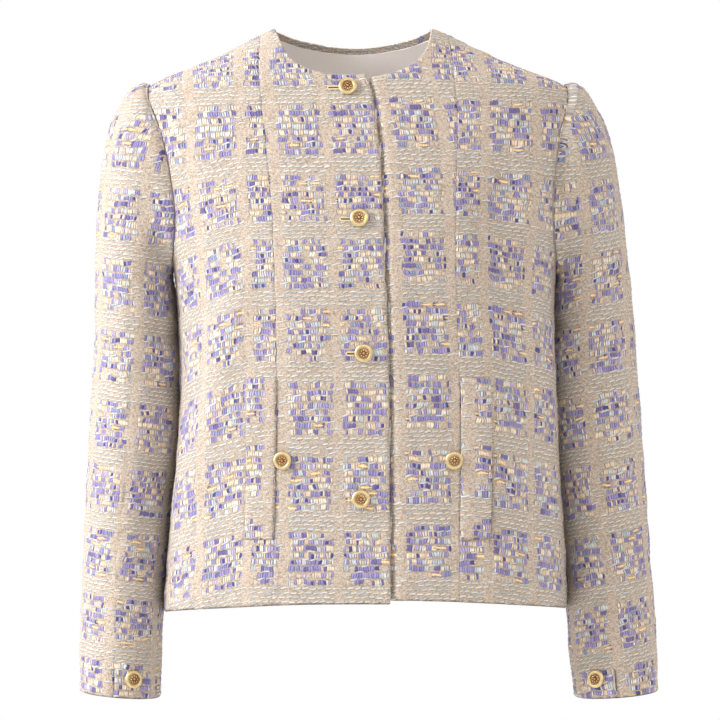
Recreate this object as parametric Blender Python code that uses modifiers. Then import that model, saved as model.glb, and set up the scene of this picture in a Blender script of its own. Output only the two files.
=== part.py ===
"""A cropped tweed jacket that keeps its worn, hollow form.

It has two centre fronts, two side fronts, a back, two set-in sleeves, two pocket
welts, a back lining and eight buttons. Each panel is a cloth wall lofted between rows
of points. The rows lie on a torso form, which is a stack of rounded rings, or between
the outer and the inner line of a sleeve.

Sizes are in millimetres until a mesh is written. The front faces -Y and the wearer's
left is at +X. The origin is between the two neck points, where the shoulders hold the
garment. A turn is an angle round the torso in degrees: 0 at the centre front, 90 at
the wearer's left side, 180 at the centre back.
"""

import math
from collections import namedtuple
from functools import lru_cache

import bmesh
import bpy
import numpy as np
from mathutils import Matrix, Vector

NAME = "cropped_tweed_jacket"
METRES = 0.001

TWEED_THICK = 2.2
LINING_THICK = 1.0
SEAM_GAP = 0.3
LINING_GAP = 1.0
RIGHT, LEFT = -1, 1

# The torso form. front and back are how far the centre front and centre back stand from
# the plane of the neck points, middle is where the ring's centre line stands in X, side
# is how far forward of that plane its widest points are. front_round and back_round are
# the exponents of its outline, where 2 is an ellipse and more is squarer.
Ring = namedtuple("Ring", "height half_width front back middle side front_round back_round")
TORSO = [
    Ring(-590, 201.5, 123.5, 117.0, 12.8, 8, 2.35, 2.12),
    Ring(-516, 197.5, 121.5, 111.0, 14.0, 9, 2.35, 2.12),
    Ring(-441, 191.0, 120.5, 106.0, 15.3, 10, 2.35, 2.12),
    Ring(-371, 187.8, 123.0, 104.5, 15.8, 10, 2.35, 2.12),
    Ring(-301, 187.0, 126.5, 108.5, 14.0, 9, 2.35, 2.12),
    Ring(-241, 190.5, 125.5, 114.0, 12.3, 6, 2.30, 2.12),
    Ring(-195, 202.0, 119.5, 117.0, 11.3, 3, 2.25, 2.15),
    Ring(-150, 215.0, 110.0, 115.5, 10.0, 1, 2.20, 2.15),
    Ring(-110, 224.0, 99.5, 108.5, 8.5, 0, 2.15, 2.12),
    Ring(-80, 226.0, 90.0, 99.0, 6.5, 0, 2.10, 2.10),
    Ring(-57, 206.0, 81.0, 89.5, 4.7, 0, 2.10, 2.10),
    Ring(-36, 155.0, 71.5, 78.0, 3.0, 0, 2.10, 2.10),
    Ring(-22, 125.0, 64.0, 69.0, 2.5, 0, 2.10, 2.10),
    Ring(-12, 105.0, 58.0, 61.0, 2.0, 0, 2.10, 2.10),
    Ring(-6, 93.0, 54.0, 56.0, 1.2, 0, 2.10, 2.10),
    Ring(0, 79.0, 49.0, 50.0, 0.0, 0, 2.10, 2.10),
]

# Seam and edge lines on the fronts, as distances from the middle at each height.
Line = namedtuple("Line", "height princess lap")
FRONT_LINES = [
    Line(-590, 91.0, 24.0),
    Line(-505, 89.8, 22.4),
    Line(-428, 89.2, 20.1),
    Line(-350, 88.5, 20.1),
    Line(-286, 87.6, 19.5),
    Line(-236, 88.0, 19.0),
    Line(-191, 89.3, 18.7),
    Line(-150, 91.0, 17.8),
    Line(-118, 93.3, 16.5),
    Line(-70, 95.7, 13.2),
    Line(-51, 95.5, 9.0),
    Line(-30, 95.0, 9.0),
    Line(0, 92.5, 9.0),
]

# The neckline, as a height at each distance from the middle.
NeckPoint = namedtuple("NeckPoint", "distance height")
FRONT_NECK = [
    NeckPoint(0, -51.5),
    NeckPoint(14, -51.0),
    NeckPoint(31, -49.5),
    NeckPoint(48, -44.5),
    NeckPoint(60, -37.0),
    NeckPoint(67, -29.0),
    NeckPoint(72, -20.5),
    NeckPoint(75, -11.0),
    NeckPoint(77.5, -4.0),
    NeckPoint(79, 0.0),
]
BACK_NECK = [
    NeckPoint(0, -13.6),
    NeckPoint(15, -13.0),
    NeckPoint(34, -10.5),
    NeckPoint(54, -7.0),
    NeckPoint(64, -4.5),
    NeckPoint(71, -2.0),
    NeckPoint(79, 0.0),
]

# The armhole edge from the underarm to the shoulder tip, and how far it reaches forward
# and back of the side line.
ArmholeRow = namedtuple("ArmholeRow", "height forward back")
ARMHOLE = [
    ArmholeRow(-240.0, 0, 0),
    ArmholeRow(-233.0, 22, 24),
    ArmholeRow(-222.0, 37, 41),
    ArmholeRow(-207.0, 48, 53),
    ArmholeRow(-188.0, 55, 60),
    ArmholeRow(-165.0, 57.5, 62),
    ArmholeRow(-142.0, 57, 61),
    ArmholeRow(-120.0, 54, 57),
    ArmholeRow(-100.0, 49, 50),
    ArmholeRow(-84.0, 42, 42),
    ArmholeRow(-71.0, 32, 32),
    ArmholeRow(-63.0, 21, 21),
    ArmholeRow(-59.0, 10.5, 10.5),
    ArmholeRow(-57.3, 0, 0),
]
ARMHOLE_HALF_DEPTH = 59.5
ARMHOLE_MIDDLE_Y = 2.5

# The hem is lowest at the sides, and the wearer's left half hangs a little higher.
SIDE_HEM = -582.0
FRONT_HEM_RISE = 15.0
BACK_HEM_RISE = 4.0
LEFT_HEM_RISE = 3.5
HEM_CURVE = 2.6
ROWS_TO_UNDERARM = 12

SIDE_COLUMNS = 8
BACK_SIDE_COLUMNS = 7
BACK_LINE = 95.0

# Columns of the centre fronts and the back, as shares of the way from the princess line
# to the lap edge, or to the centre back. They crowd together at the neck's sides.
Column = namedtuple("Column", "low high")
FRONT_COLUMNS = [
    Column(0.11, 0.137),
    Column(0.22, 0.153),
    Column(0.33, 0.185),
    Column(0.45, 0.25),
    Column(0.57, 0.37),
    Column(0.70, 0.55),
    Column(0.85, 0.78),
    Column(1.0, 1.0),
]
BACK_COLUMNS = [
    Column(0.20, 0.15),
    Column(0.40, 0.185),
    Column(0.60, 0.30),
    Column(0.80, 0.58),
    Column(1.0, 1.0),
]
FAN_LOW, FAN_HIGH = -420.0, -60.0

# The left front steps in under the lap, and comes out again beyond its edge.
LAP_STEP = TWEED_THICK + SEAM_GAP + 0.4
LAP_CLEAR = 3.0
LAP_EASE = 26.0
LEFT_NECK_DROP = 3.5
LEFT_NECK_DROP_WIDTH = 45.0

# Rings from the armhole to the cuff. Each sleeve has an outer and an inner line, a
# distance from the plane through the neck, and a ring's middle stands behind that plane
# by its y. half_depth is the ring's half width from front to back.
SleeveRing = namedtuple(
    "SleeveRing",
    "outer_z inner_z half_depth right_outer right_inner right_y left_outer left_inner left_y",
)
SLEEVE = [
    SleeveRing(-54.6, -243, 61.0, 206.5, 179.4, 2, 216.5, 203.2, 2),
    SleeveRing(-55.2, -246, 62.5, 213.0, 180.0, 2, 223.0, 203.8, 2),
    SleeveRing(-61.5, -249, 63.5, 222.0, 180.2, 3, 232.0, 204.0, 3),
    SleeveRing(-77.5, -252, 64.0, 232.5, 180.0, 4, 242.5, 203.9, 5),
    SleeveRing(-101.0, -255, 63.5, 243.0, 179.6, 5, 254.0, 203.6, 7),
    SleeveRing(-131.0, -258, 62.5, 248.5, 179.2, 6, 261.5, 203.2, 9),
    SleeveRing(-166.0, -262, 61.5, 252.5, 178.6, 7, 267.0, 202.7, 11),
    SleeveRing(-204.0, -267, 60.5, 255.2, 177.8, 8, 272.0, 202.2, 13),
    SleeveRing(-240.0, -275, 60.0, 256.4, 176.6, 9, 276.5, 201.4, 16),
    SleeveRing(-275.0, -288, 59.5, 257.3, 175.2, 11, 280.5, 200.4, 20),
    SleeveRing(-308.0, -310, 59.0, 258.2, 173.6, 13, 283.7, 199.6, 24),
    SleeveRing(-340.0, -340, 58.0, 260.0, 172.2, 15, 286.6, 199.4, 27),
    SleeveRing(-371.0, -371, 57.0, 262.4, 171.8, 16, 288.8, 199.8, 28),
    SleeveRing(-410.0, -408, 56.0, 265.0, 172.8, 15, 292.0, 201.4, 27),
    SleeveRing(-450.0, -447, 54.5, 266.6, 176.0, 13, 294.6, 204.0, 24),
    SleeveRing(-500.0, -496, 52.5, 268.6, 182.6, 9, 297.6, 209.4, 19),
    SleeveRing(-550.0, -546, 50.5, 270.5, 187.4, 4, 300.4, 213.8, 13),
    SleeveRing(-595.0, -592, 48.5, 271.4, 189.6, -1, 303.2, 215.4, 6),
    SleeveRing(-632.0, -632, 46.5, 272.0, 190.7, -6, 304.6, 217.4, -2),
    SleeveRing(-647.0, -649, 45.5, 271.3, 191.1, -9, 304.0, 219.8, -6),
    SleeveRing(-660.5, -667, 45.0, 271.5, 191.5, -11, 304.6, 221.5, -9),
]
HEAD_RINGS = 5
VENT_HEIGHT = -640.0
VENT_GAP = 0.5
VENT_STEP = 0.9

# Soft folds on the fronts and the back. A fold follows its path downwards and stands
# out by its lift, or in where that is negative.
Fold = namedtuple("Fold", "face lift spread path")
FRONT, BACK = "front", "back"
FOLDS = [
    Fold(FRONT, 2.6, 17, ((172, -95), (176, -150), (174, -230))),
    Fold(FRONT, -3.6, 20, ((138, -110), (146, -200), (158, -331), (176, -419), (183, -590))),
    Fold(FRONT, 2.0, 20, ((126, -260), (130, -360), (140, -470), (146, -600))),
    Fold(FRONT, 4.2, 17, ((-108, -215), (-121, -300), (-133, -370), (-156, -440), (-176, -520))),
    Fold(FRONT, -2.6, 18, ((-150, -250), (-160, -330), (-166, -400))),
    Fold(FRONT, -2.2, 20, ((-112, -400), (-120, -480), (-126, -600))),
    Fold(BACK, -3.4, 24, ((-118, -120), (-112, -260), (-104, -420), (-110, -600))),
    Fold(BACK, 3.0, 26, ((-62, -230), (-58, -370), (-66, -600))),
    Fold(BACK, -3.8, 24, ((142, -130), (136, -280), (124, -430), (132, -600))),
    Fold(BACK, 2.8, 26, ((84, -200), (80, -350), (90, -600))),
    Fold(BACK, -2.0, 24, ((10, -300), (14, -420), (8, -600))),
]
FOLD_ENDS = 0.22

WELT_TOP, WELT_BOTTOM = -348.5, -505.0
WELT_WIDTH = 29.0
WELT_GAP = 0.6
WELT_THICK = 2.0
WELT_ROWS = 8
WELT_COLUMNS = 3

# The back's rows that the lining has too, from above the hem to below the neck.
LINING_ROWS = (1, 3, 5, 6, 7, 8, 9, 11, 12, 14, 16, 18, 20, 21, 22, 23)

# A button's outline from the middle of its face to the foot of its shank, as shares of
# its radius and heights above its seat.
BUTTON_RADIUS = 9.0
ProfilePoint = namedtuple("ProfilePoint", "share height")
BUTTON_FACE = [
    ProfilePoint(0, 2.6),
    ProfilePoint(0.30, 2.3),
    ProfilePoint(0.58, 1.5),
    ProfilePoint(0.76, 2.4),
    ProfilePoint(1.0, 1.0),
    ProfilePoint(0.92, 0),
]
SHANK_SHARE = 0.30
BUTTON_STEPS = 14
BUTTON_MERGE = 0.00001
BUTTON_SEAT = 0.3
FRONT_SHANK = 1.2
WELT_SHANK = WELT_GAP + WELT_THICK + 0.4 - BUTTON_SEAT
FRONT_BUTTONS = ((-9.8, -64.7), (-4.5, -194.0), (-3.6, -324.3), (-6.5, -465.3))
POCKET_BUTTON_HEIGHT = -428.2
POCKET_BUTTON_INSET = 6.8
CUFF_BUTTON_HEIGHT = -646.0
CUFF_BUTTON_X = {RIGHT: -216.8, LEFT: 241.7}

# How finely directions and heights are found on the torso form.
TURN_STEP = 0.6
HEIGHT_STEP = 2.0
HALVINGS = 40
SIDE_FADE = 30.0
NECK_GUESS = -20.0
CREASE_ANGLE = math.radians(50)

Finish = namedtuple("Finish", "colour roughness metallic")
TWEED = Finish((0.62, 0.52, 0.46), 0.9, 0.0)
LINING = Finish((0.52, 0.46, 0.44), 0.5, 0.0)
GOLD = Finish((0.76, 0.58, 0.32), 0.3, 1.0)


# --- sizes read from the tables --------------------------------------------------------


def eased(rows, column, at, key="height"):
    """The column's value at a place on the key column, by a smooth curve."""
    rows = sorted(rows, key=lambda row: getattr(row, key))
    keys = [getattr(row, key) for row in rows]
    values = [getattr(row, column) for row in rows]
    at = min(max(at, keys[0]), keys[-1])
    k = min(max(int(np.searchsorted(keys, at)) - 1, 0), len(keys) - 2)

    def tangent(i):
        before, after = max(i - 1, 0), min(i + 1, len(keys) - 1)
        return (values[after] - values[before]) / (keys[after] - keys[before])

    span = keys[k + 1] - keys[k]
    u = (at - keys[k]) / span
    start = (1 + 2 * u) * (1 - u) ** 2 * values[k] + u * (1 - u) ** 2 * span * tangent(k)
    end = u * u * (3 - 2 * u) * values[k + 1] + u * u * (u - 1) * span * tangent(k + 1)
    return start + end


def smooth_step(value):
    """Rises softly from 0 to 1 as the value does."""
    value = min(max(value, 0.0), 1.0)
    return value * value * (3 - 2 * value)


def unit(vector):
    return vector / max(float(np.linalg.norm(vector)), 1e-9)


@lru_cache(maxsize=None)
def ring_at(height):
    """The torso's ring at a height."""
    return Ring(height, *(eased(TORSO, name, height) for name in Ring._fields[1:]))


# --- the torso form --------------------------------------------------------------------


def power(value, exponent):
    """A power that keeps the value's sign."""
    return math.copysign(abs(value) ** exponent, value)


def half_ring(ring, face):
    """The depth and the roundness of a ring's front or back half."""
    if face == FRONT:
        return ring.front - ring.side, ring.front_round
    return ring.back + ring.side, ring.back_round


def bare_point(turn, height):
    """A point on the torso form, without its folds."""
    ring = ring_at(height)
    sine, cosine = math.sin(math.radians(turn)), math.cos(math.radians(turn))
    depth, roundness = half_ring(ring, FRONT if cosine > 0 else BACK)
    across, along = power(sine, 2 / roundness), power(cosine, 2 / roundness)
    return np.array(
        [ring.middle + ring.half_width * across, -ring.side - depth * along, height]
    )


def outward(turn, height):
    """The direction that faces out of the torso form."""
    round_it = bare_point(turn + TURN_STEP, height) - bare_point(turn - TURN_STEP, height)
    low = max(height - HEIGHT_STEP, TORSO[0].height)
    high = min(height + HEIGHT_STEP, TORSO[-1].height)
    up_it = bare_point(turn, high) - bare_point(turn, low)
    return unit(np.cross(round_it, up_it))


def turn_at(x, height, face=FRONT):
    """The turn at which the ring at this height stands at x."""
    ring = ring_at(height)
    share = min(max((x - ring.middle) / ring.half_width, -1), 1)
    turn = math.degrees(math.asin(power(share, half_ring(ring, face)[1] / 2)))
    return turn if face == FRONT else 180 - turn


def fold_lift(x, height, face):
    """How far the folds bring the cloth out at this place."""
    lift = 0.0
    for fold in FOLDS:
        heights = [p[1] for p in fold.path]
        if fold.face != face or not min(heights) < height < max(heights):
            continue
        down = (max(heights) - height) / (max(heights) - min(heights))
        path_x = np.interp(height, heights[::-1], [p[0] for p in fold.path][::-1])
        runs_off = min(heights) <= SIDE_HEM
        ends = smooth_step(down / FOLD_ENDS)
        ends *= 1 if runs_off else smooth_step((1 - down) / FOLD_ENDS)
        lift += fold.lift * ends * math.exp(-(((x - path_x) / fold.spread) ** 2))
    return lift


def torso_point(turn, height):
    """(the outer point of the cloth, the outward direction) on the torso form."""
    point = bare_point(turn, height)
    normal = outward(turn, height)
    face = FRONT if abs((turn + 180) % 360 - 180) < 90 else BACK
    fade = smooth_step(abs(point[1] + ring_at(height).side) / SIDE_FADE)
    return point + normal * fold_lift(point[0], height, face) * fade, normal


def lap_step(x, height):
    """How far the left front steps in under the right front's lap."""
    edge = ring_at(height).middle + eased(FRONT_LINES, "lap", height)
    return LAP_STEP * smooth_step((edge + LAP_CLEAR + LAP_EASE - x) / LAP_EASE)


def hem_height(turn):
    """The height of the body's hem at a turn."""
    across = math.sin(math.radians(turn))
    front = abs((turn + 180) % 360 - 180) < 90
    share = abs(across) ** (2 / half_ring(TORSO[0], FRONT if front else BACK)[1])
    rise = FRONT_HEM_RISE if front else BACK_HEM_RISE
    height = SIDE_HEM + rise * (1 - share**HEM_CURVE)
    if front:
        return height
    return height + LEFT_HEM_RISE * (1 + across) / 2


def side_rows():
    """Rows of the side edge from hem to shoulder tip, as (share of the way up, row)."""
    below = [
        ArmholeRow(SIDE_HEM + (ARMHOLE[0].height - SIDE_HEM) * k / ROWS_TO_UNDERARM, 0, 0)
        for k in range(ROWS_TO_UNDERARM)
    ]
    rows = below + ARMHOLE
    top = ARMHOLE[-1].height
    return [((row.height - SIDE_HEM) / (top - SIDE_HEM), row) for row in rows]


def side_edge(side, face):
    """The (turn, height) of each row on the side seam and armhole edge."""
    hem = SIDE_HEM + (LEFT_HEM_RISE if side == LEFT else 0)
    edge = []
    for share, row in side_rows():
        height = hem + (ARMHOLE[-1].height - hem) * share
        ring = ring_at(height)
        reach = row.forward if face == FRONT else row.back
        depth, roundness = half_ring(ring, face)
        lean = math.degrees(math.asin((reach / depth) ** (roundness / 2)))
        turn = side * (90 - lean) if face == FRONT else side * (90 + lean)
        edge.append((turn % 360 if face == BACK else turn, height))
    return edge


def shoulder_height(distance):
    """The height of the shoulder seam at a distance from its ring's middle."""
    low, high = ARMHOLE[-1].height, TORSO[-1].height
    for _ in range(HALVINGS):
        middle = (low + high) / 2
        if ring_at(middle).half_width > distance:
            low = middle
        else:
            high = middle
    return low


def line_column(side, face, distance_at, top, hem_rise=0.0):
    """(turn, height) of each row on a column that keeps distance_at(height)."""

    def x_at(height):
        return ring_at(height).middle + side * distance_at(height)

    bottom = hem_height(turn_at(x_at(SIDE_HEM), SIDE_HEM, face)) + hem_rise
    column = []
    for share, _ in side_rows():
        height = bottom + (top - bottom) * share
        column.append((turn_at(x_at(height), height, face), height))
    return column


def between(edge, line, share):
    """The column that lies a share of the way from the side edge to a line."""
    return [
        (a[0] + (b[0] - a[0]) * share, a[1] + (b[1] - a[1]) * share)
        for a, b in zip(edge, line)
    ]


# --- cloth walls -----------------------------------------------------------------------


def add_piece(name, mesh, finish):
    """Puts a mesh in the collection as a named piece with its own material."""
    material = bpy.data.materials.new(name + "_material")
    material.use_nodes = True
    shader = material.node_tree.nodes["Principled BSDF"]
    shader.inputs["Base Color"].default_value = (*finish.colour, 1)
    shader.inputs["Roughness"].default_value = finish.roughness
    shader.inputs["Metallic"].default_value = finish.metallic
    mesh.materials.append(material)
    piece = bpy.data.objects.new(name, mesh)
    bpy.data.collections[NAME].objects.link(piece)
    return piece


def set_back(points, sides=True, top=True):
    """Draws the seam edges of a grid of points in by half the seam gap."""
    trimmed = points.copy()
    half = SEAM_GAP / 2
    if sides:
        for edge, inner in ((0, 1), (-1, -2)):
            for row in range(len(points)):
                trimmed[row, edge] += unit(points[row, inner] - points[row, edge]) * half
    if top:
        for column in range(points.shape[1]):
            trimmed[-1, column] += unit(trimmed[-2, column] - trimmed[-1, column]) * half
    return trimmed


def cloth_wall(name, outer, normals, thickness, finish):
    """A closed cloth wall: a grid of outer points, its inner copy and its edges."""
    build = bmesh.new()
    skins = {}
    for point, normal in zip(outer.reshape(-1, 3), normals.reshape(-1, 3)):
        key = tuple(np.round(point, 2))
        if key not in skins:
            deep = point - normal * thickness
            skins[key] = [build.verts.new(place * METRES) for place in (point, deep)]
    rows, columns = outer.shape[:2]
    grid = [[skins[tuple(np.round(outer[r, c], 2))] for c in range(columns)] for r in range(rows)]
    for r in range(rows - 1):
        for c in range(columns - 1):
            corners = [grid[r][c], grid[r][c + 1], grid[r + 1][c + 1], grid[r + 1][c]]
            for skin in (0, 1):
                build.faces.new([corner[skin] for corner in corners])
    deep_of = dict(skins.values())
    for rim in [edge for edge in build.edges if edge.is_boundary]:
        a, b = rim.verts
        if a in deep_of and b in deep_of:
            build.faces.new([a, b, deep_of[b], deep_of[a]])
    bmesh.ops.recalc_face_normals(build, faces=build.faces)
    mesh = bpy.data.meshes.new(name)
    build.to_mesh(mesh)
    build.free()
    mesh.shade_smooth()
    mesh.set_sharp_from_angle(angle=CREASE_ANGLE)
    return add_piece(name, mesh, finish)


def panel_points(columns, stepped=False):
    """(points, normals) of a panel from its columns of (turn, height)."""
    points = np.zeros((len(columns[0]), len(columns), 3))
    normals = np.zeros_like(points)
    for c, column in enumerate(columns):
        for r, (turn, height) in enumerate(column):
            point, normal = torso_point(turn, height)
            if stepped:
                point = point - normal * lap_step(point[0], height)
            points[r, c], normals[r, c] = point, normal
    return points, normals


def tweed_panel(name, columns, stepped=False):
    """A tweed piece on the torso form, from its columns of (turn, height)."""
    points, normals = panel_points(columns, stepped)
    return cloth_wall(name, set_back(points), normals, TWEED_THICK, TWEED)


# --- the fronts and the back -----------------------------------------------------------


def princess(height):
    """The princess seam's distance from the middle."""
    return eased(FRONT_LINES, "princess", height)


def princess_column(side):
    """The princess seam from hem to shoulder."""
    top = shoulder_height(princess(0))
    rise = LEFT_HEM_RISE if side == LEFT else 0
    return line_column(side, FRONT, princess, top, rise)


def fanned(column, height):
    """A column's share of the way across at a height."""
    up = smooth_step((height - FAN_LOW) / (FAN_HIGH - FAN_LOW))
    return column.low + (column.high - column.low) * up


def neck_height(distance, table, drop=0.0):
    """The height of the neckline, or of the shoulder beyond it, at a distance."""
    if distance >= table[-1].distance:
        return shoulder_height(distance)
    height = eased(table, "height", abs(distance), "distance")
    return height - drop * smooth_step(1 - distance / LEFT_NECK_DROP_WIDTH)


def make_centre_front(side, name):
    """A centre front: from the princess seam, past the middle, to the front edge."""
    drop = LEFT_NECK_DROP if side == LEFT else 0
    rise = LEFT_HEM_RISE if side == LEFT else 0

    def distance_at(column):
        def at(height):
            out = princess(height)
            return out - fanned(column, height) * (out + eased(FRONT_LINES, "lap", height))

        return at

    columns = [princess_column(side)]
    for column in FRONT_COLUMNS:
        at = distance_at(column)
        top = neck_height(at(NECK_GUESS), FRONT_NECK, drop)
        top = neck_height(at(top), FRONT_NECK, drop)
        columns.append(line_column(side, FRONT, at, top, rise))
    if side == LEFT:
        columns.reverse()
    return tweed_panel(name, columns, stepped=side == LEFT)


def make_side_front(side, name):
    """A side front: from the side seam and armhole to the princess seam."""
    edge, line = side_edge(side, FRONT), princess_column(side)
    columns = [between(edge, line, k / SIDE_COLUMNS) for k in range(SIDE_COLUMNS + 1)]
    if side == LEFT:
        columns.reverse()
    return tweed_panel(name, columns)


def back_line(height):
    """The back's line below the princess seam's shoulder end, as a distance."""
    share = smooth_step((height - SIDE_HEM) / (0 - SIDE_HEM))
    return BACK_LINE + (princess(0) - BACK_LINE) * share


def half_back(side):
    """The back's columns on one side, from the side seam to the centre back."""
    edge = side_edge(side, BACK)
    line = line_column(side, BACK, back_line, shoulder_height(princess(0)))
    half = [between(edge, line, k / BACK_SIDE_COLUMNS) for k in range(BACK_SIDE_COLUMNS + 1)]
    for column in BACK_COLUMNS:

        def at(height, column=column):
            return back_line(height) * (1 - fanned(column, height))

        half.append(line_column(side, BACK, at, neck_height(at(0), BACK_NECK)))
    return half


def back_columns():
    """The back's columns, from the wearer's left side to the right."""
    return half_back(LEFT) + half_back(RIGHT)[-2::-1]


def make_back():
    """The back, in one piece from side seam to side seam."""
    return tweed_panel("back", back_columns())


def make_back_lining():
    """The lining, inside the back from below the neck to above the hem."""
    columns = [[column[row] for row in LINING_ROWS] for column in back_columns()[1:-1]]
    points, normals = panel_points(columns)
    points = points - normals * (TWEED_THICK + LINING_GAP)
    return cloth_wall("lining_back", points, normals, LINING_THICK, LINING)


# --- the sleeves -----------------------------------------------------------------------


def armhole_loop(side):
    """The armhole's points from the shoulder tip, down the front and up the back."""
    front = [torso_point(*place)[0] for place in side_edge(side, FRONT)[ROWS_TO_UNDERARM:]]
    back = [torso_point(*place)[0] for place in side_edge(side, BACK)[ROWS_TO_UNDERARM:]]
    return np.array(front[::-1] + back[1:-1])


def loop_angles():
    """Where each armhole point stands round the sleeve: 0 at the tip, 180 underneath."""
    top, bottom = ARMHOLE[-1].height, ARMHOLE[0].height
    middle, half = (top + bottom) / 2, (top - bottom) / 2
    down = [math.acos(min(max((row.height - middle) / half, -1), 1)) for row in ARMHOLE[::-1]]
    return np.array(down + [2 * math.pi - angle for angle in down[-2:0:-1]])


def sleeve_ring(outer, inner, middle_y, half_depth, angles):
    """An oval ring through an outer and an inner point."""
    middle, half = (outer + inner) / 2, (outer - inner) / 2
    ring = [
        middle + half * math.cos(a) + np.array([0, middle_y - half_depth * math.sin(a), 0])
        for a in angles
    ]
    return np.array(ring)


def sleeve_rings(side):
    """The sleeve's rings, from the armhole to the cuff."""
    loop, angles = armhole_loop(side), loop_angles()
    under = int(np.argmin(loop[:, 2]))
    oval = sleeve_ring(
        loop[0] * (1, 0, 1), loop[under] * (1, 0, 1), ARMHOLE_MIDDLE_Y, ARMHOLE_HALF_DEPTH, angles
    )
    from_oval = loop - oval
    rings = [loop]
    for k, row in enumerate(SLEEVE, 1):
        outer_x, inner_x, middle_y = row[3:6] if side == RIGHT else row[6:9]
        outer = np.array([side * outer_x, 0, row.outer_z])
        inner = np.array([side * inner_x, 0, row.inner_z])
        ring = sleeve_ring(outer, inner, middle_y, row.half_depth, angles)
        rings.append(ring + from_oval * (1 - smooth_step(k / HEAD_RINGS)))
    return np.array(rings)


def grid_normals(points, flip):
    """Directions out of a grid of points whose columns close on themselves."""
    normals = np.zeros_like(points)
    rows, columns = points.shape[:2]
    for r in range(rows):
        for c in range(columns):
            round_it = points[r, (c + 1) % columns] - points[r, c - 1]
            along = points[min(r + 1, rows - 1), c] - points[max(r - 1, 0), c]
            normals[r, c] = unit(np.cross(round_it, along)) * flip
    return normals


def make_sleeve(side, name):
    """A set-in sleeve, open at both ends, with a slit vent at its cuff."""
    rings = sleeve_rings(side)
    rings[0] += (side * SEAM_GAP, 0, 0)
    normals = grid_normals(rings, side)
    vent = int(np.argmin(abs(loop_angles() - math.pi / 2)))
    rings, normals = np.roll(rings, -vent, axis=1), np.roll(normals, -vent, axis=1)
    rings = np.concatenate([rings, rings[:, :1]], axis=1)
    normals = np.concatenate([normals, normals[:, :1]], axis=1)
    for r in range(len(rings)):
        if rings[r, 0, 2] > VENT_HEIGHT:
            continue
        to_body = unit(rings[r, 1] - rings[r, 0]) * VENT_GAP / 2
        rings[r, 0] += to_body + normals[r, 0] * VENT_STEP
        rings[r, -1] += -to_body - normals[r, -1] * VENT_STEP
    return cloth_wall(name, rings, normals, TWEED_THICK, TWEED)


# --- welts and buttons -----------------------------------------------------------------


def make_welt(side, name):
    """A strip that stands on the side front, sewn in at the princess seam."""
    rows = []
    for r in range(WELT_ROWS + 1):
        height = WELT_BOTTOM + (WELT_TOP - WELT_BOTTOM) * r / WELT_ROWS
        seam = ring_at(height).middle + side * princess(height)
        places = [seam + side * WELT_WIDTH * c / WELT_COLUMNS for c in range(WELT_COLUMNS + 1)]
        rows.append([torso_point(turn_at(x, height), height) for x in places])
    points = np.array([[place[0] for place in row] for row in rows])
    normals = np.array([[place[1] for place in row] for row in rows])
    points = set_back(points, top=False) + normals * (WELT_GAP + WELT_THICK)
    return cloth_wall(name, points, normals, WELT_THICK, TWEED)


def make_button(name, place, facing, shank):
    """A turned metal button with a rolled rim, on a shank that rises from the cloth."""
    profile = BUTTON_FACE + [
        ProfilePoint(SHANK_SHARE, 0),
        ProfilePoint(SHANK_SHARE, -shank),
        ProfilePoint(0, -shank),
    ]
    mesh = bpy.data.meshes.new(name)
    points = [(p.share * BUTTON_RADIUS * METRES, 0, p.height * METRES) for p in profile]
    mesh.from_pydata(points, [(k, k + 1) for k in range(len(points) - 1)], [])
    button = add_piece(name, mesh, GOLD)
    turned = button.modifiers.new("turned", "SCREW")
    turned.steps = turned.render_steps = BUTTON_STEPS
    turned.use_merge_vertices = True
    turned.merge_threshold = BUTTON_MERGE
    facing = Vector(facing).normalized()
    seat = Vector(place) + facing * (BUTTON_SEAT + shank)
    turn = facing.to_track_quat("Z", "Y").to_matrix().to_4x4()
    button.matrix_world = Matrix.Translation(seat * METRES) @ turn
    return button


def sleeve_place(side, x, height):
    """(point, direction out) on the front of a sleeve."""
    rings, angles = sleeve_rings(side), loop_angles()
    normals = grid_normals(rings, side)
    front = [k for k, a in enumerate(angles) if 0 < a < math.pi]
    lines = []
    for k in front:
        heights = rings[::-1, k, 2]
        point = [np.interp(height, heights, rings[::-1, k, axis]) for axis in range(3)]
        normal = [np.interp(height, heights, normals[::-1, k, axis]) for axis in range(3)]
        lines.append((point, normal))
    lines.sort(key=lambda line: line[0][0])
    known = [line[0][0] for line in lines]
    point = [np.interp(x, known, [line[0][axis] for line in lines]) for axis in range(3)]
    normal = [np.interp(x, known, [line[1][axis] for line in lines]) for axis in range(3)]
    return point, normal


def make_buttons():
    """Four front buttons, and one at each welt and cuff."""
    for number, (offset, height) in enumerate(FRONT_BUTTONS, 1):
        x = ring_at(height).middle + offset
        point, normal = torso_point(turn_at(x, height), height)
        make_button(f"button_front_{number}", point, normal, FRONT_SHANK)
    for side, word in ((RIGHT, "right"), (LEFT, "left")):
        height = POCKET_BUTTON_HEIGHT
        x = ring_at(height).middle + side * (princess(height) - POCKET_BUTTON_INSET)
        point, normal = torso_point(turn_at(x, height), height)
        make_button(f"button_pocket_{word}", point, normal, WELT_SHANK)
        point, normal = sleeve_place(side, CUFF_BUTTON_X[side], CUFF_BUTTON_HEIGHT)
        make_button(f"button_cuff_{word}", point, normal, FRONT_SHANK)


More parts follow.
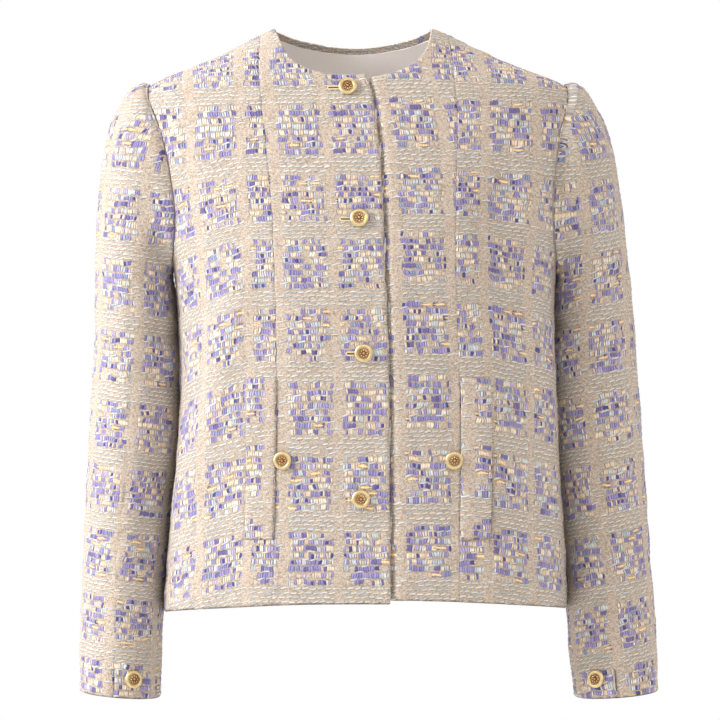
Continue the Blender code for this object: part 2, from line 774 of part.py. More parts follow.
def main():
    """Clears the scene and makes every piece."""
    for piece in list(bpy.data.objects):
        bpy.data.objects.remove(piece, do_unlink=True)
    bpy.context.scene.collection.children.link(bpy.data.collections.new(NAME))
    make_centre_front(RIGHT, "front_centre_right")
    make_centre_front(LEFT, "front_centre_left")
    make_side_front(RIGHT, "front_side_right")
    make_side_front(LEFT, "front_side_left")
    make_back()
    make_back_lining()
    make_sleeve(RIGHT, "sleeve_right")
    make_sleeve(LEFT, "sleeve_left")
    make_welt(RIGHT, "welt_right")
    make_welt(LEFT, "welt_left")
    make_buttons()


main()
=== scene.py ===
"""The looks of a cropped tweed jacket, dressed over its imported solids.

Every cloth piece starts as a flat box from bmesh operators, one unit wide and one long,
with a fine outer layer and a coarser inner one. It is then laid on the garment's form:
the body pieces on a stack of rounded rings, the sleeves between an outer and an inner
line. Each piece carries a UV map in millimetres of cloth, which the woven check follows.

Sizes are in millimetres until a mesh is written. The front faces -Y and the wearer's
left is at +X. A turn is an angle round the torso in degrees: 0 at the centre front, 90
at the wearer's left side and 180 at the centre back.
"""

import logging
import math
from collections.abc import Callable
from dataclasses import dataclass, field
from enum import Enum
from typing import NamedTuple

import bmesh
import bpy
import numpy as np
from mathutils import Matrix, Vector


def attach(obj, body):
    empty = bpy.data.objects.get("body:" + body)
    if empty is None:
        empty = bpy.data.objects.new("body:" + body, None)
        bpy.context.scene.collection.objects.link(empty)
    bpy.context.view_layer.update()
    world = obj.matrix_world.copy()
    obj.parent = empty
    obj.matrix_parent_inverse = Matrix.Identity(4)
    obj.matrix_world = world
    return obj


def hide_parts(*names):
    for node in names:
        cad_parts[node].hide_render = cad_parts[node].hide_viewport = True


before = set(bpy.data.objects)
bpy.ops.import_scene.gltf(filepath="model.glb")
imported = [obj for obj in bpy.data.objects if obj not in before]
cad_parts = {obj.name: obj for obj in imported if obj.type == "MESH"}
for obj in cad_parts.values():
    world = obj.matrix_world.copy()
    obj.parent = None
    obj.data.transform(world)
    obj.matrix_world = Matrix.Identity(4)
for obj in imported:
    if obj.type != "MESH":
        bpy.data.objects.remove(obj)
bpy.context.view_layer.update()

log = logging.getLogger("jacket")
MM = 0.001
UV_NAME = "cloth_mm"
# The point attribute that holds how much painted shade lies along hems and slits.
EDGE_SHADE_NAME = "painted_edge_shade"

Array = np.ndarray
Pair = tuple[Array, Array]
Point = tuple[float, float, float]
Rows = tuple[tuple[float, ...], ...]
Stops = tuple[tuple[float, str], ...]
Build = bmesh.types.BMesh
Material = bpy.types.Material
Mesh = bpy.types.Mesh
Object = bpy.types.Object
Socket = bpy.types.NodeSocket
Add = Callable[..., Socket]


class Side(Enum):
    """A side of the wearer, as the sign of its X."""

    RIGHT = -1
    LEFT = 1

    @property
    def word(self) -> str:
        """The side's name in a piece's name."""
        return self.name.lower()


Sided = dict[Side, float]


class Face(Enum):
    """The half of the torso form that a piece lies on."""

    FRONT = "front"
    BACK = "back"


# --- small sums ---


@dataclass(frozen=True)
class Curve:
    """A smooth curve through a table's keys and values.

    Attributes:
        keys: Rising places along the curve.
        values: The value at each key.
    """

    keys: tuple[float, ...]
    values: tuple[float, ...]

    def at(self, place: Array | float) -> Array:
        """Reads the curve.

        Args:
            place: Where to read it; places past its ends give the end values.

        Returns:
            The values there.
        """
        keys, values = np.asarray(self.keys, float), np.asarray(self.values, float)
        place = np.clip(np.asarray(place, float), keys[0], keys[-1])
        k = np.clip(np.searchsorted(keys, place) - 1, 0, len(keys) - 2)
        before = np.maximum(np.arange(len(keys)) - 1, 0)
        after = np.minimum(np.arange(len(keys)) + 1, len(keys) - 1)
        slope = (values[after] - values[before]) / (keys[after] - keys[before])
        span = keys[k + 1] - keys[k]
        u = (place - keys[k]) / span
        start = (1 + 2 * u) * (1 - u) ** 2 * values[k] + u * (1 - u) ** 2 * span * slope[k]
        end = u * u * (3 - 2 * u) * values[k + 1] + u * u * (u - 1) * span * slope[k + 1]
        return start + end


def curves_of(names: str, rows: Rows) -> dict[str, Curve]:
    """Makes a curve of each named column of a table over its first one."""
    columns = list(zip(*sorted(rows, key=lambda row: row[0])))
    return {name: Curve(columns[0], column) for name, column in zip(names.split(), columns)}


def table(names: str, *rows: tuple[float, ...]) -> dict[str, Curve]:
    """A class's field that holds the curves of a table, given as to curves_of."""
    return field(default_factory=lambda: curves_of(names, rows))


def by_side(right: object, left: object) -> dict[Side, object]:
    """A class's field that holds a value for each side of the wearer."""
    return field(default_factory=lambda: {Side.RIGHT: right, Side.LEFT: left})


def smooth(value: Array | float) -> Array:
    """Rises softly from 0 to 1 as the value does."""
    value = np.clip(value, 0.0, 1.0)
    return value * value * (3 - 2 * value)


def eased(value: Array, start: float, end: float) -> Array:
    """Goes softly from 0 where the value is at its start to 1 where it is at its end."""
    return smooth((value - start) / (end - start))


def unit(vectors: Array) -> Array:
    """The same directions with a length of one."""
    return vectors / np.maximum(np.linalg.norm(vectors, axis=-1, keepdims=True), 1e-9)


def signed_power(value: Array, exponent: Array | float) -> Array:
    """A power that keeps the value's sign."""
    return np.sign(value) * np.abs(value) ** exponent


def ripple(seed: int, across: Array, along: Array, size: float, waves: int = 9) -> Array:
    """Soft uneven waves from about -1 to 1 over the cloth, the same on each run.

    Args:
        seed: Which waves.
        across: Places across the cloth.
        along: Places along it.
        size: The waves' usual length.
        waves: How many are added up.

    Returns:
        The waves' height at each place.
    """
    draw = np.random.default_rng(seed)
    total = np.zeros(np.shape(across))
    for _ in range(waves):
        heading, phase = draw.uniform(0, 2 * math.pi, 2)
        length = size * draw.uniform(0.7, 1.6)
        way = (across * math.cos(heading) + along * math.sin(heading)) / length
        total += np.sin(2 * math.pi * way + phase)
    return total / math.sqrt(waves)


def rolled(distance: Array, reach: float, drop: float) -> Array:
    """Lowers cloth near a rolled edge, from 0 at its reach to its whole drop at the edge."""
    inside = np.clip(1 - distance / reach, 0, 1)
    return -drop * (1 - np.sqrt(1 - inside**2))


def graded(share: Array | float) -> Array:
    """Shares that crowd together near 0 and 1, for the rolled edges."""
    return share - 0.35 * np.sin(2 * math.pi * share) / (2 * math.pi)


def inset(share: Array, gap: float, length: float) -> Array:
    """Draws shares in from 0 and 1 by a gap on a usual length."""
    return gap / length + share * (1 - 2 * gap / length)


# --- the garment's form ---


@dataclass
class TorsoForm:
    """The worn torso: a stack of rounded rings, its seam lines, edges and soft folds."""

    lowest: float = -590.0
    hem: float = -582.0
    front_hem_rise: float = 15.0
    back_hem_rise: float = 4.0
    left_hem_rise: float = 3.5
    hem_curve: float = 2.6
    underarm: float = -240.0
    shoulder_tip: float = -57.3
    back_line_low: float = 95.0
    fan_low: float = -420.0
    fan_high: float = -60.0
    neck_width: float = 79.0
    left_neck_drop: float = 3.5
    left_neck_drop_width: float = 45.0
    lap_step: float = 2.9
    lap_clear: float = 1.5
    lap_ease: float = 7.0
    lap_wave: float = 0.45
    groove_depth: float = 3.6
    groove_half: float = 2.0
    groove_off: float = 0.9
    fold_ends: float = 0.22
    side_fade: float = 30.0
    ring: dict[str, Curve] = table(
        "height half_width front back middle side front_round back_round",
        (-590, 201.5, 123.5, 117.0, 12.8, 8, 2.35, 2.12),
        (-516, 197.5, 121.5, 111.0, 14.0, 9, 2.35, 2.12),
        (-441, 191.0, 120.5, 106.0, 15.3, 10, 2.35, 2.12),
        (-371, 187.8, 123.0, 104.5, 15.8, 10, 2.35, 2.12),
        (-301, 187.0, 126.5, 108.5, 14.0, 9, 2.35, 2.12),
        (-241, 190.5, 125.5, 114.0, 12.3, 6, 2.30, 2.12),
        (-195, 202.0, 119.5, 117.0, 11.3, 3, 2.25, 2.15),
        (-150, 215.0, 110.0, 115.5, 10.0, 1, 2.20, 2.15),
        (-110, 224.0, 99.5, 108.5, 8.5, 0, 2.15, 2.12),
        (-80, 226.0, 90.0, 99.0, 6.5, 0, 2.10, 2.10),
        (-57, 206.0, 81.0, 89.5, 4.7, 0, 2.10, 2.10),
        (-36, 155.0, 71.5, 78.0, 3.0, 0, 2.10, 2.10),
        (-22, 125.0, 64.0, 69.0, 2.5, 0, 2.10, 2.10),
        (-12, 105.0, 58.0, 61.0, 2.0, 0, 2.10, 2.10),
        (-6, 93.0, 54.0, 56.0, 1.2, 0, 2.10, 2.10),
        (0, 79.0, 49.0, 50.0, 0.0, 0, 2.10, 2.10),
    )
    line: dict[str, Curve] = table(
        "height princess lap",
        (-590, 91.0, 24.0),
        (-505, 89.8, 22.4),
        (-428, 89.2, 20.1),
        (-350, 88.5, 20.1),
        (-286, 87.6, 19.5),
        (-236, 88.0, 19.0),
        (-191, 89.3, 18.7),
        (-150, 91.0, 17.8),
        (-118, 93.3, 16.5),
        (-70, 95.7, 13.2),
        (-51, 95.5, 9.0),
        (-30, 95.0, 9.0),
        (0, 92.5, 9.0),
    )
    neck: dict[Face, Curve] = field(
        default_factory=lambda: {
            Face.FRONT: Curve(
                (0, 14, 31, 48, 60, 67, 72, 75, 77.5, 79),
                (-51.5, -51, -49.5, -44.5, -37, -29, -20.5, -11, -4, 0),
            ),
            Face.BACK: Curve((0, 15, 34, 54, 64, 71, 79), (-13.6, -13, -10.5, -7, -4.5, -2, 0)),
        }
    )
    # The armhole's reach forward and back of the side line at each height.
    armhole_rows: Rows = (
        (-57.3, 0, 0),
        (-59.0, 10.5, 10.5),
        (-63.0, 21, 21),
        (-71.0, 32, 32),
        (-84.0, 42, 42),
        (-100.0, 49, 50),
        (-120.0, 54, 57),
        (-142.0, 57, 61),
        (-165.0, 57.5, 62),
        (-188.0, 55, 60),
        (-207.0, 48, 53),
        (-222.0, 37, 41),
        (-233.0, 22, 24),
        (-240.0, 0, 0),
    )
    # Columns fan in towards the neck's sides: their share across the piece low and high up.
    front_fan: dict[str, Curve] = table(
        "share low high",
        (0, 0, 0),
        (1 / 8, 0.11, 0.137),
        (2 / 8, 0.22, 0.153),
        (3 / 8, 0.33, 0.185),
        (4 / 8, 0.45, 0.25),
        (5 / 8, 0.57, 0.37),
        (6 / 8, 0.70, 0.55),
        (7 / 8, 0.85, 0.78),
        (1, 1, 1),
    )
    back_fan: dict[str, Curve] = table(
        "share low high",
        (0, 0, 0),
        (1 / 5, 0.20, 0.15),
        (2 / 5, 0.40, 0.185),
        (3 / 5, 0.60, 0.30),
        (4 / 5, 0.80, 0.58),
        (1, 1, 1),
    )
    # Each fold: the half it is on, its lift, its spread and the path that it follows down.
    folds: tuple[tuple[Face, float, float, Rows], ...] = (
        (Face.FRONT, 4.0, 15, ((172, -95), (176, -150), (174, -230))),
        (Face.FRONT, -5.2, 19, ((138, -110), (146, -200), (158, -331), (176, -419), (183, -590))),
        (Face.FRONT, 2.8, 19, ((126, -260), (130, -360), (140, -470), (146, -600))),
        (
            Face.FRONT,
            4.2,
            17,
            ((-108, -215), (-121, -300), (-133, -370), (-156, -440), (-176, -520)),
        ),
        (Face.FRONT, -2.6, 18, ((-150, -250), (-160, -330), (-166, -400))),
        (Face.FRONT, -2.2, 20, ((-112, -400), (-120, -480), (-126, -600))),
        (Face.BACK, -3.4, 24, ((-118, -120), (-112, -260), (-104, -420), (-110, -600))),
        (Face.BACK, 3.0, 26, ((-62, -230), (-58, -370), (-66, -600))),
        (Face.BACK, -3.8, 24, ((142, -130), (136, -280), (124, -430), (132, -600))),
        (Face.BACK, 2.8, 26, ((84, -200), (80, -350), (90, -600))),
        (Face.BACK, -2.0, 24, ((10, -300), (14, -420), (8, -600))),
    )

    def half(self, height: Array | float, front: Array | bool) -> Pair:
        """The depth and roundness of the rings' halves.

        Args:
            height: The rings' heights.
            front: Whether each place is on the front half.

        Returns:
            The depths and the outlines' exponents.
        """
        ring = {name: curve.at(height) for name, curve in self.ring.items()}
        depth = np.where(front, ring["front"] - ring["side"], ring["back"] + ring["side"])
        return depth, np.where(front, ring["front_round"], ring["back_round"])

    @staticmethod
    def in_front(turn: Array) -> Array:
        """Whether each turn is on the front half."""
        return np.abs((turn + 180) % 360 - 180) < 90

    def middle(self, height: Array | float) -> Array:
        """The x of the rings' middle at each height."""
        return self.ring["middle"].at(height)

    def bare(self, turn: Array, height: Array) -> Array:
        """Points on the form, without its folds."""
        turn, height = np.broadcast_arrays(turn, height)
        sine, cosine = np.sin(np.radians(turn)), np.cos(np.radians(turn))
        depth, roundness = self.half(height, cosine > 0)
        across, along = signed_power(sine, 2 / roundness), signed_power(cosine, 2 / roundness)
        x = self.middle(height) + self.ring["half_width"].at(height) * across
        y = -self.ring["side"].at(height) - depth * along
        return np.stack([x, y, height], -1)

    def outward(self, turn: Array, height: Array) -> Array:
        """Directions out of the form."""
        round_it = self.bare(turn + 0.6, height) - self.bare(turn - 0.6, height)
        low, high = np.maximum(height - 2, self.lowest), np.minimum(height + 2, 0)
        return unit(np.cross(round_it, self.bare(turn, high) - self.bare(turn, low)))

    def turn_at(self, x: Array, height: Array, face: Face) -> Array:
        """The turns at which the rings at these heights stand at x."""
        share = (x - self.middle(height)) / self.ring["half_width"].at(height)
        _, roundness = self.half(height, face is Face.FRONT)
        turn = np.degrees(np.arcsin(signed_power(np.clip(share, -1, 1), roundness / 2)))
        return turn if face is Face.FRONT else 180 - turn

    def fold_lift(self, x: Array, height: Array, front: Array) -> Array:
        """How far the folds bring the cloth out."""
        lift = np.zeros(np.shape(x))
        for face, rise, spread, path in self.folds:
            heights = [place[1] for place in path][::-1]
            path_x = np.interp(height, heights, [place[0] for place in path][::-1])
            down = (heights[-1] - height) / (heights[-1] - heights[0])
            ends = smooth(down / self.fold_ends)
            if heights[0] > self.hem:
                ends = ends * smooth((1 - down) / self.fold_ends)
            on_it = (front == (face is Face.FRONT)) & (down > 0) & (down < 1)
            lift += on_it * rise * ends * np.exp(-(((x - path_x) / spread) ** 2))
        return lift

    def place(self, turn: Array, height: Array) -> Pair:
        """Lays cloth on the form.

        Args:
            turn: The turn of each point.
            height: Its height.

        Returns:
            The cloth's outer points and the directions out of the form.
        """
        point, normal = self.bare(turn, height), self.outward(turn, height)
        front = self.in_front(turn)
        fade = smooth(np.abs(point[..., 1] + self.ring["side"].at(height)) / self.side_fade)
        lift = self.fold_lift(point[..., 0], height, front) * fade
        return point + normal * lift[..., None], normal

    def arc(self, start: Array, turn: Array, height: Array, steps: int = 20) -> Array:
        """The way round the form from one turn to another at a height."""
        total, last = 0.0, self.bare(start, height)
        for step in range(1, steps + 1):
            here = self.bare(start + (turn - start) * step / steps, height)
            total = total + np.linalg.norm(here - last, axis=-1)
            last = here
        return total * np.sign(turn - start)

    def hem_height(self, turn: Array) -> Array:
        """The height of the hem at each turn."""
        across, front = np.sin(np.radians(turn)), self.in_front(turn)
        _, roundness = self.half(self.lowest, front)
        share = np.abs(across) ** (2 / roundness)
        rise = np.where(front, self.front_hem_rise, self.back_hem_rise)
        height = self.hem + rise * (1 - share**self.hem_curve)
        return height + np.where(front, 0, self.left_hem_rise * (1 + across) / 2)

    def shoulder_height(self, distance: Array) -> Array:
        """The height of the shoulder seam at a distance from the middle."""
        heights = np.linspace(self.shoulder_tip, 0, 600)
        return np.interp(-distance, -self.ring["half_width"].at(heights), heights)

    def neck_height(self, distance: Array, face: Face, drop: float = 0.0) -> Array:
        """The height of the neckline, or past it of the shoulder seam, at a distance."""
        neck = self.neck[face].at(np.abs(distance))
        neck = neck - drop * smooth(1 - distance / self.left_neck_drop_width)
        return np.where(distance >= self.neck_width, self.shoulder_height(distance), neck)

    def armhole(self, angle: Array, face: Face) -> Pair:
        """The armhole's heights and its reach from the side line, at angles from its top."""
        rows = np.array(self.armhole_rows)
        middle, half = (rows[0, 0] + rows[-1, 0]) / 2, (rows[0, 0] - rows[-1, 0]) / 2
        keys = tuple(np.arccos(np.clip((rows[:, 0] - middle) / half, -1, 1)))
        reach = Curve(keys, tuple(rows[:, 1 if face is Face.FRONT else 2])).at(angle)
        return middle + half * np.cos(angle), np.maximum(reach, 0)

    def armhole_turn(self, side: Side, face: Face, height: Array, reach: Array) -> Array:
        """The turns of armhole points."""
        depth, roundness = self.half(height, face is Face.FRONT)
        lean = np.degrees(np.arcsin((reach / depth) ** (roundness / 2)))
        turn = side.value * (90 - lean if face is Face.FRONT else 90 + lean)
        return turn % 360 if face is Face.BACK else turn

    def side_edge(self, side: Side, face: Face, up: Array) -> Pair:
        """The side seam and armhole edge.

        Args:
            side: Which side of the wearer.
            face: The front's edge or the back's.
            up: Shares of the way up the edge, by its length.

        Returns:
            The turn and the height at each share.
        """
        hem = self.hem + (self.left_hem_rise if side is Side.LEFT else 0)
        height, reach = self.armhole(np.linspace(math.pi, 0, 240), face)
        height = np.concatenate([np.linspace(hem, self.underarm, 120)[:-1], height])
        reach = np.concatenate([np.zeros(119), reach])
        turn = self.armhole_turn(side, face, height, reach)
        steps = np.linalg.norm(np.diff(self.bare(turn, height), axis=0), axis=1)
        along = np.concatenate([[0], np.cumsum(steps)])
        return np.interp(up, along / along[-1], turn), np.interp(up, along / along[-1], height)

    def line_place(
        self, side: Side, face: Face, distance: Callable, top: Array, rise: float, up: Array
    ) -> Pair:
        """Columns that keep a distance from the middle line, from the hem to their tops.

        Args:
            side: Which side of the wearer.
            face: The half of the form.
            distance: Gives the distance from the middle at a height.
            top: The height of each column's top.
            rise: How much higher the hem is here.
            up: Shares of the way up.

        Returns:
            The turns and the heights.
        """
        low = np.full(np.shape(top), self.hem)
        x = self.middle(low) + side.value * distance(low)
        bottom = self.hem_height(self.turn_at(x, low, face)) + rise
        height = bottom + (top - bottom) * up
        x = self.middle(height) + side.value * distance(height)
        return self.turn_at(x, height, face), height

    def princess(self, side: Side, up: Array) -> Pair:
        """The princess seam's turns and heights at shares of the way up it."""
        top = np.full(np.shape(up), self.shoulder_height(self.line["princess"].at(0)))
        rise = self.left_hem_rise if side is Side.LEFT else 0
        return self.line_place(side, Face.FRONT, self.line["princess"].at, top, rise, up)

    def on_front(self, offset: float, height: float) -> Pair:
        """A place on the fronts, by its offset from the middle, and the way that it faces."""
        at = np.array([height])
        turn = self.turn_at(self.middle(at) + offset, at, Face.FRONT)
        point, normal = self.place(turn, at)
        return point[0], normal[0]

    def line_turn(self, name: str, sign: int, height: Array) -> Array:
        """The turn of a front line at a height."""
        x = self.middle(height) + sign * self.line[name].at(height)
        return self.turn_at(x, height, Face.FRONT)


@dataclass
class SleeveForm:
    """A sleeve as rings between an outer and an inner line, from the armhole to the cuff."""

    torso: TorsoForm
    head_rings: int = 5
    armhole_middle_y: float = 2.5
    armhole_half_depth: float = 59.5
    # outer_z inner_z half_depth, then outer inner y on the right, and the same on the left
    rows: Rows = (
        (-54.6, -243, 61.0, 206.5, 179.4, 2, 216.5, 203.2, 2),
        (-55.2, -246, 62.5, 213.0, 180.0, 2, 223.0, 203.8, 2),
        (-61.5, -249, 63.5, 222.0, 180.2, 3, 232.0, 204.0, 3),
        (-77.5, -252, 64.0, 232.5, 180.0, 4, 242.5, 203.9, 5),
        (-101.0, -255, 63.5, 243.0, 179.6, 5, 254.0, 203.6, 7),
        (-131.0, -258, 62.5, 248.5, 179.2, 6, 261.5, 203.2, 9),
        (-166.0, -262, 61.5, 252.5, 178.6, 7, 267.0, 202.7, 11),
        (-204.0, -267, 60.5, 255.2, 177.8, 8, 272.0, 202.2, 13),
        (-240.0, -275, 60.0, 256.4, 176.6, 9, 276.5, 201.4, 16),
        (-275.0, -288, 59.5, 257.3, 175.2, 11, 280.5, 200.4, 20),
        (-308.0, -310, 59.0, 258.2, 173.6, 13, 283.7, 199.6, 24),
        (-340.0, -340, 58.0, 260.0, 172.2, 15, 286.6, 199.4, 27),
        (-371.0, -371, 57.0, 262.4, 171.8, 16, 288.8, 199.8, 28),
        (-410.0, -408, 56.0, 265.0, 172.8, 15, 292.0, 201.4, 27),
        (-450.0, -447, 54.5, 266.6, 176.0, 13, 294.6, 204.0, 24),
        (-500.0, -496, 52.5, 268.6, 182.6, 9, 297.6, 209.4, 19),
        (-550.0, -546, 50.5, 270.5, 187.4, 4, 300.4, 213.8, 13),
        (-595.0, -592, 48.5, 271.4, 189.6, -1, 303.2, 215.4, 6),
        (-632.0, -632, 46.5, 272.0, 190.7, -6, 304.6, 217.4, -2),
        (-647.0, -649, 45.5, 271.3, 191.1, -9, 304.0, 219.8, -6),
        (-660.5, -667, 45.0, 271.5, 191.5, -11, 304.6, 221.5, -9),
    )

    def rings(self, side: Side) -> Array:
        """A sleeve's rings from the table."""
        first = 3 if side is Side.RIGHT else 6
        return np.array([row[:3] + row[first : first + 3] for row in self.rows])

    def loop(self, side: Side, angle: Array) -> Array:
        """The armhole's points at angles round it: 0 at the tip, pi underneath."""
        front = np.sin(angle) >= 0
        fore = np.where(front, angle % (2 * math.pi), (-angle) % (2 * math.pi))
        points = np.empty(np.shape(angle) + (3,))
        for face, here in ((Face.FRONT, front), (Face.BACK, ~front)):
            height, reach = self.torso.armhole(fore[here], face)
            turn = self.torso.armhole_turn(side, face, height, reach)
            points[here] = self.torso.place(turn, height)[0]
        return points

    def place(self, side: Side, along: Array, angle: Array) -> Array:
        """Lays the sleeve's cloth.

        Args:
            side: Which sleeve.
            along: Shares of the way from the armhole to the cuff, by ring.
            angle: Angles round it.

        Returns:
            The outer points.
        """
        ends = self.loop(side, np.array([0.0, math.pi]))
        start = (ends[0, 2], ends[1, 2], self.armhole_half_depth)
        start += (side.value * ends[0, 0], side.value * ends[1, 0], self.armhole_middle_y)
        rings = np.vstack([start, self.rings(side)])
        ring = along * (len(rings) - 1)
        keys = tuple(range(len(rings)))
        z_out, z_in, depth, x_out, x_in, y = (Curve(keys, tuple(c)).at(ring) for c in rings.T)
        lean, forward = (1 + np.cos(angle)) / 2, np.sin(angle)
        x, z = x_in + (x_out - x_in) * lean, z_in + (z_out - z_in) * lean
        points = np.stack([side.value * x, y - depth * forward, z], -1)
        x = start[4] + (start[3] - start[4]) * lean
        z = start[1] + (start[0] - start[1]) * lean
        oval = np.stack([side.value * x, start[5] - start[2] * forward, z], -1)
        away = (self.loop(side, angle) - oval) * (1 - smooth(ring / self.head_rings))[..., None]
        return points + away

    def arc(self, side: Side, points: Array, angle: Array, start: float) -> Array:
        """The way round the arm at each point's height, from a starting angle.

        Args:
            side: Which sleeve.
            points: Points of the sleeve.
            angle: Their angles round it, which grow past a full turn.
            start: The angle to measure from.

        Returns:
            The arcs, as on an oval arm that runs on up through the shoulder.
        """
        z_out, z_in, depth, x_out, x_in, y = self.rings(side)[::-1].T
        height = points[..., 2]
        outer = np.interp(np.minimum(height, -110), z_out, x_out)
        inner = np.interp(height, z_in, x_in)
        depth = np.interp(height, (z_out + z_in) / 2, depth)
        middle, half = (outer + inner) / 2, (outer - inner) / 2
        forward = (np.interp(height, (z_out + z_in) / 2, y) - points[..., 1]) / depth
        turn = np.arctan2(forward, (side.value * points[..., 0] - middle) / half)
        turn = turn + 2 * math.pi * np.round((angle - turn) / (2 * math.pi))
        total, steps = 0.0, 48
        for step in range(steps):
            way = start + (turn - start) * (step + 0.5) / steps
            total = total + np.hypot(half * np.sin(way), depth * np.cos(way))
        return total * (turn - start) / steps

    def over_head(self, points: Array, angle: Array, across: Array) -> Array:
        """Lays the cloth's columns over the head, straight up from the arm's outer line.

        Args:
            points: Points of the sleeve, from the cuff up by row.
            angle: Their angles round it.
            across: The way round the arm at each of them.

        Returns:
            The way round, measured over the head along its level sections.
        """
        tip = int(np.argmin(np.abs(angle[0] - 2 * math.pi)))
        height = np.maximum.accumulate(points[..., 2], axis=0)
        levels, columns = np.arange(-210.0, -52.0, 2.0), range(points.shape[1])
        section = np.array(
            [[np.interp(levels, height[:, j], points[:, j, k]) for k in (0, 1)] for j in columns]
        )
        steps = np.linalg.norm(np.diff(section, axis=0), axis=1)
        way = np.concatenate([np.zeros((1, len(levels))), np.cumsum(steps, 0)])
        way = way - way[tip]
        round_it = np.stack([np.interp(height[:, j], levels, way[j]) for j in columns], 1)
        outer = np.interp(np.minimum(points[..., 2], -190), height[:, tip], across[:, tip])
        share = eased(points[..., 2], -205, -145) * (angle > math.pi)
        return across + (outer + round_it - across) * share


# --- the check ---


@dataclass(frozen=True)
class Check:
    """The woven check: blocks of slubs in rows, with plain stripes and rows of dashes."""

    thread: float = 2.43
    row: float = 6.5
    repeat_threads: int = 22
    block_threads: int = 18
    repeat_rows: int = 11
    block_rows: int = 8
    slub_rise: float = 0.7
    dash_rise: float = 0.3

    @property
    def width(self) -> float:
        """The repeat's width."""
        return self.thread * self.repeat_threads

    @property
    def length(self) -> float:
        """The repeat's length."""
        return self.row * self.repeat_rows

    def mirrored(self, across: Array) -> Array:
        """The same columns counted the other way, so that the weave's slant is kept."""
        return self.block_threads * self.thread - across

    def row_map(self, tops: tuple[float, ...], height: Array) -> Array:
        """Turns heights into places along the cloth.

        Args:
            tops: The heights of the blocks' top edges, the highest first.
            height: The heights to turn.

        Returns:
            Places along the cloth, where the lowest block spans 0 to its own length.
        """
        block = self.row * self.block_rows
        known = np.array(tops)[::-1]
        places = block + self.length * np.arange(len(known))
        inside = np.interp(height, known, places)
        below = np.minimum(height - known[0], 0)
        above = np.maximum(height - known[-1], 0)
        return inside + below + above

    def relief(self, across: Array, along: Array) -> Array:
        """How far the yarns stand out of the ground."""
        column = (across / self.thread) % self.repeat_threads
        row = along / self.row
        crown = np.clip(1 - ((row % 1 - 0.5) / 0.44) ** 2, 0, 1) ** 0.7
        in_block = (column < self.block_threads) & (row % self.repeat_rows < self.block_rows)
        in_block &= along > 0
        cell = np.floor(across / self.thread / 2) * 12.9898 + np.floor(row) * 4.1414
        uneven = np.abs(np.sin(cell) * 43.7585) % 1
        slub = self.slub_rise * (0.55 + 0.45 * uneven)
        edge = np.clip(np.minimum(column, self.block_threads - column), 0, 1)
        dash = self.dash_rise * (0.6 + 0.4 * np.sin(across * 2 * math.pi / 7.5 + row * 3))
        return crown * np.where(in_block, slub * edge, dash)


# --- cloth ---


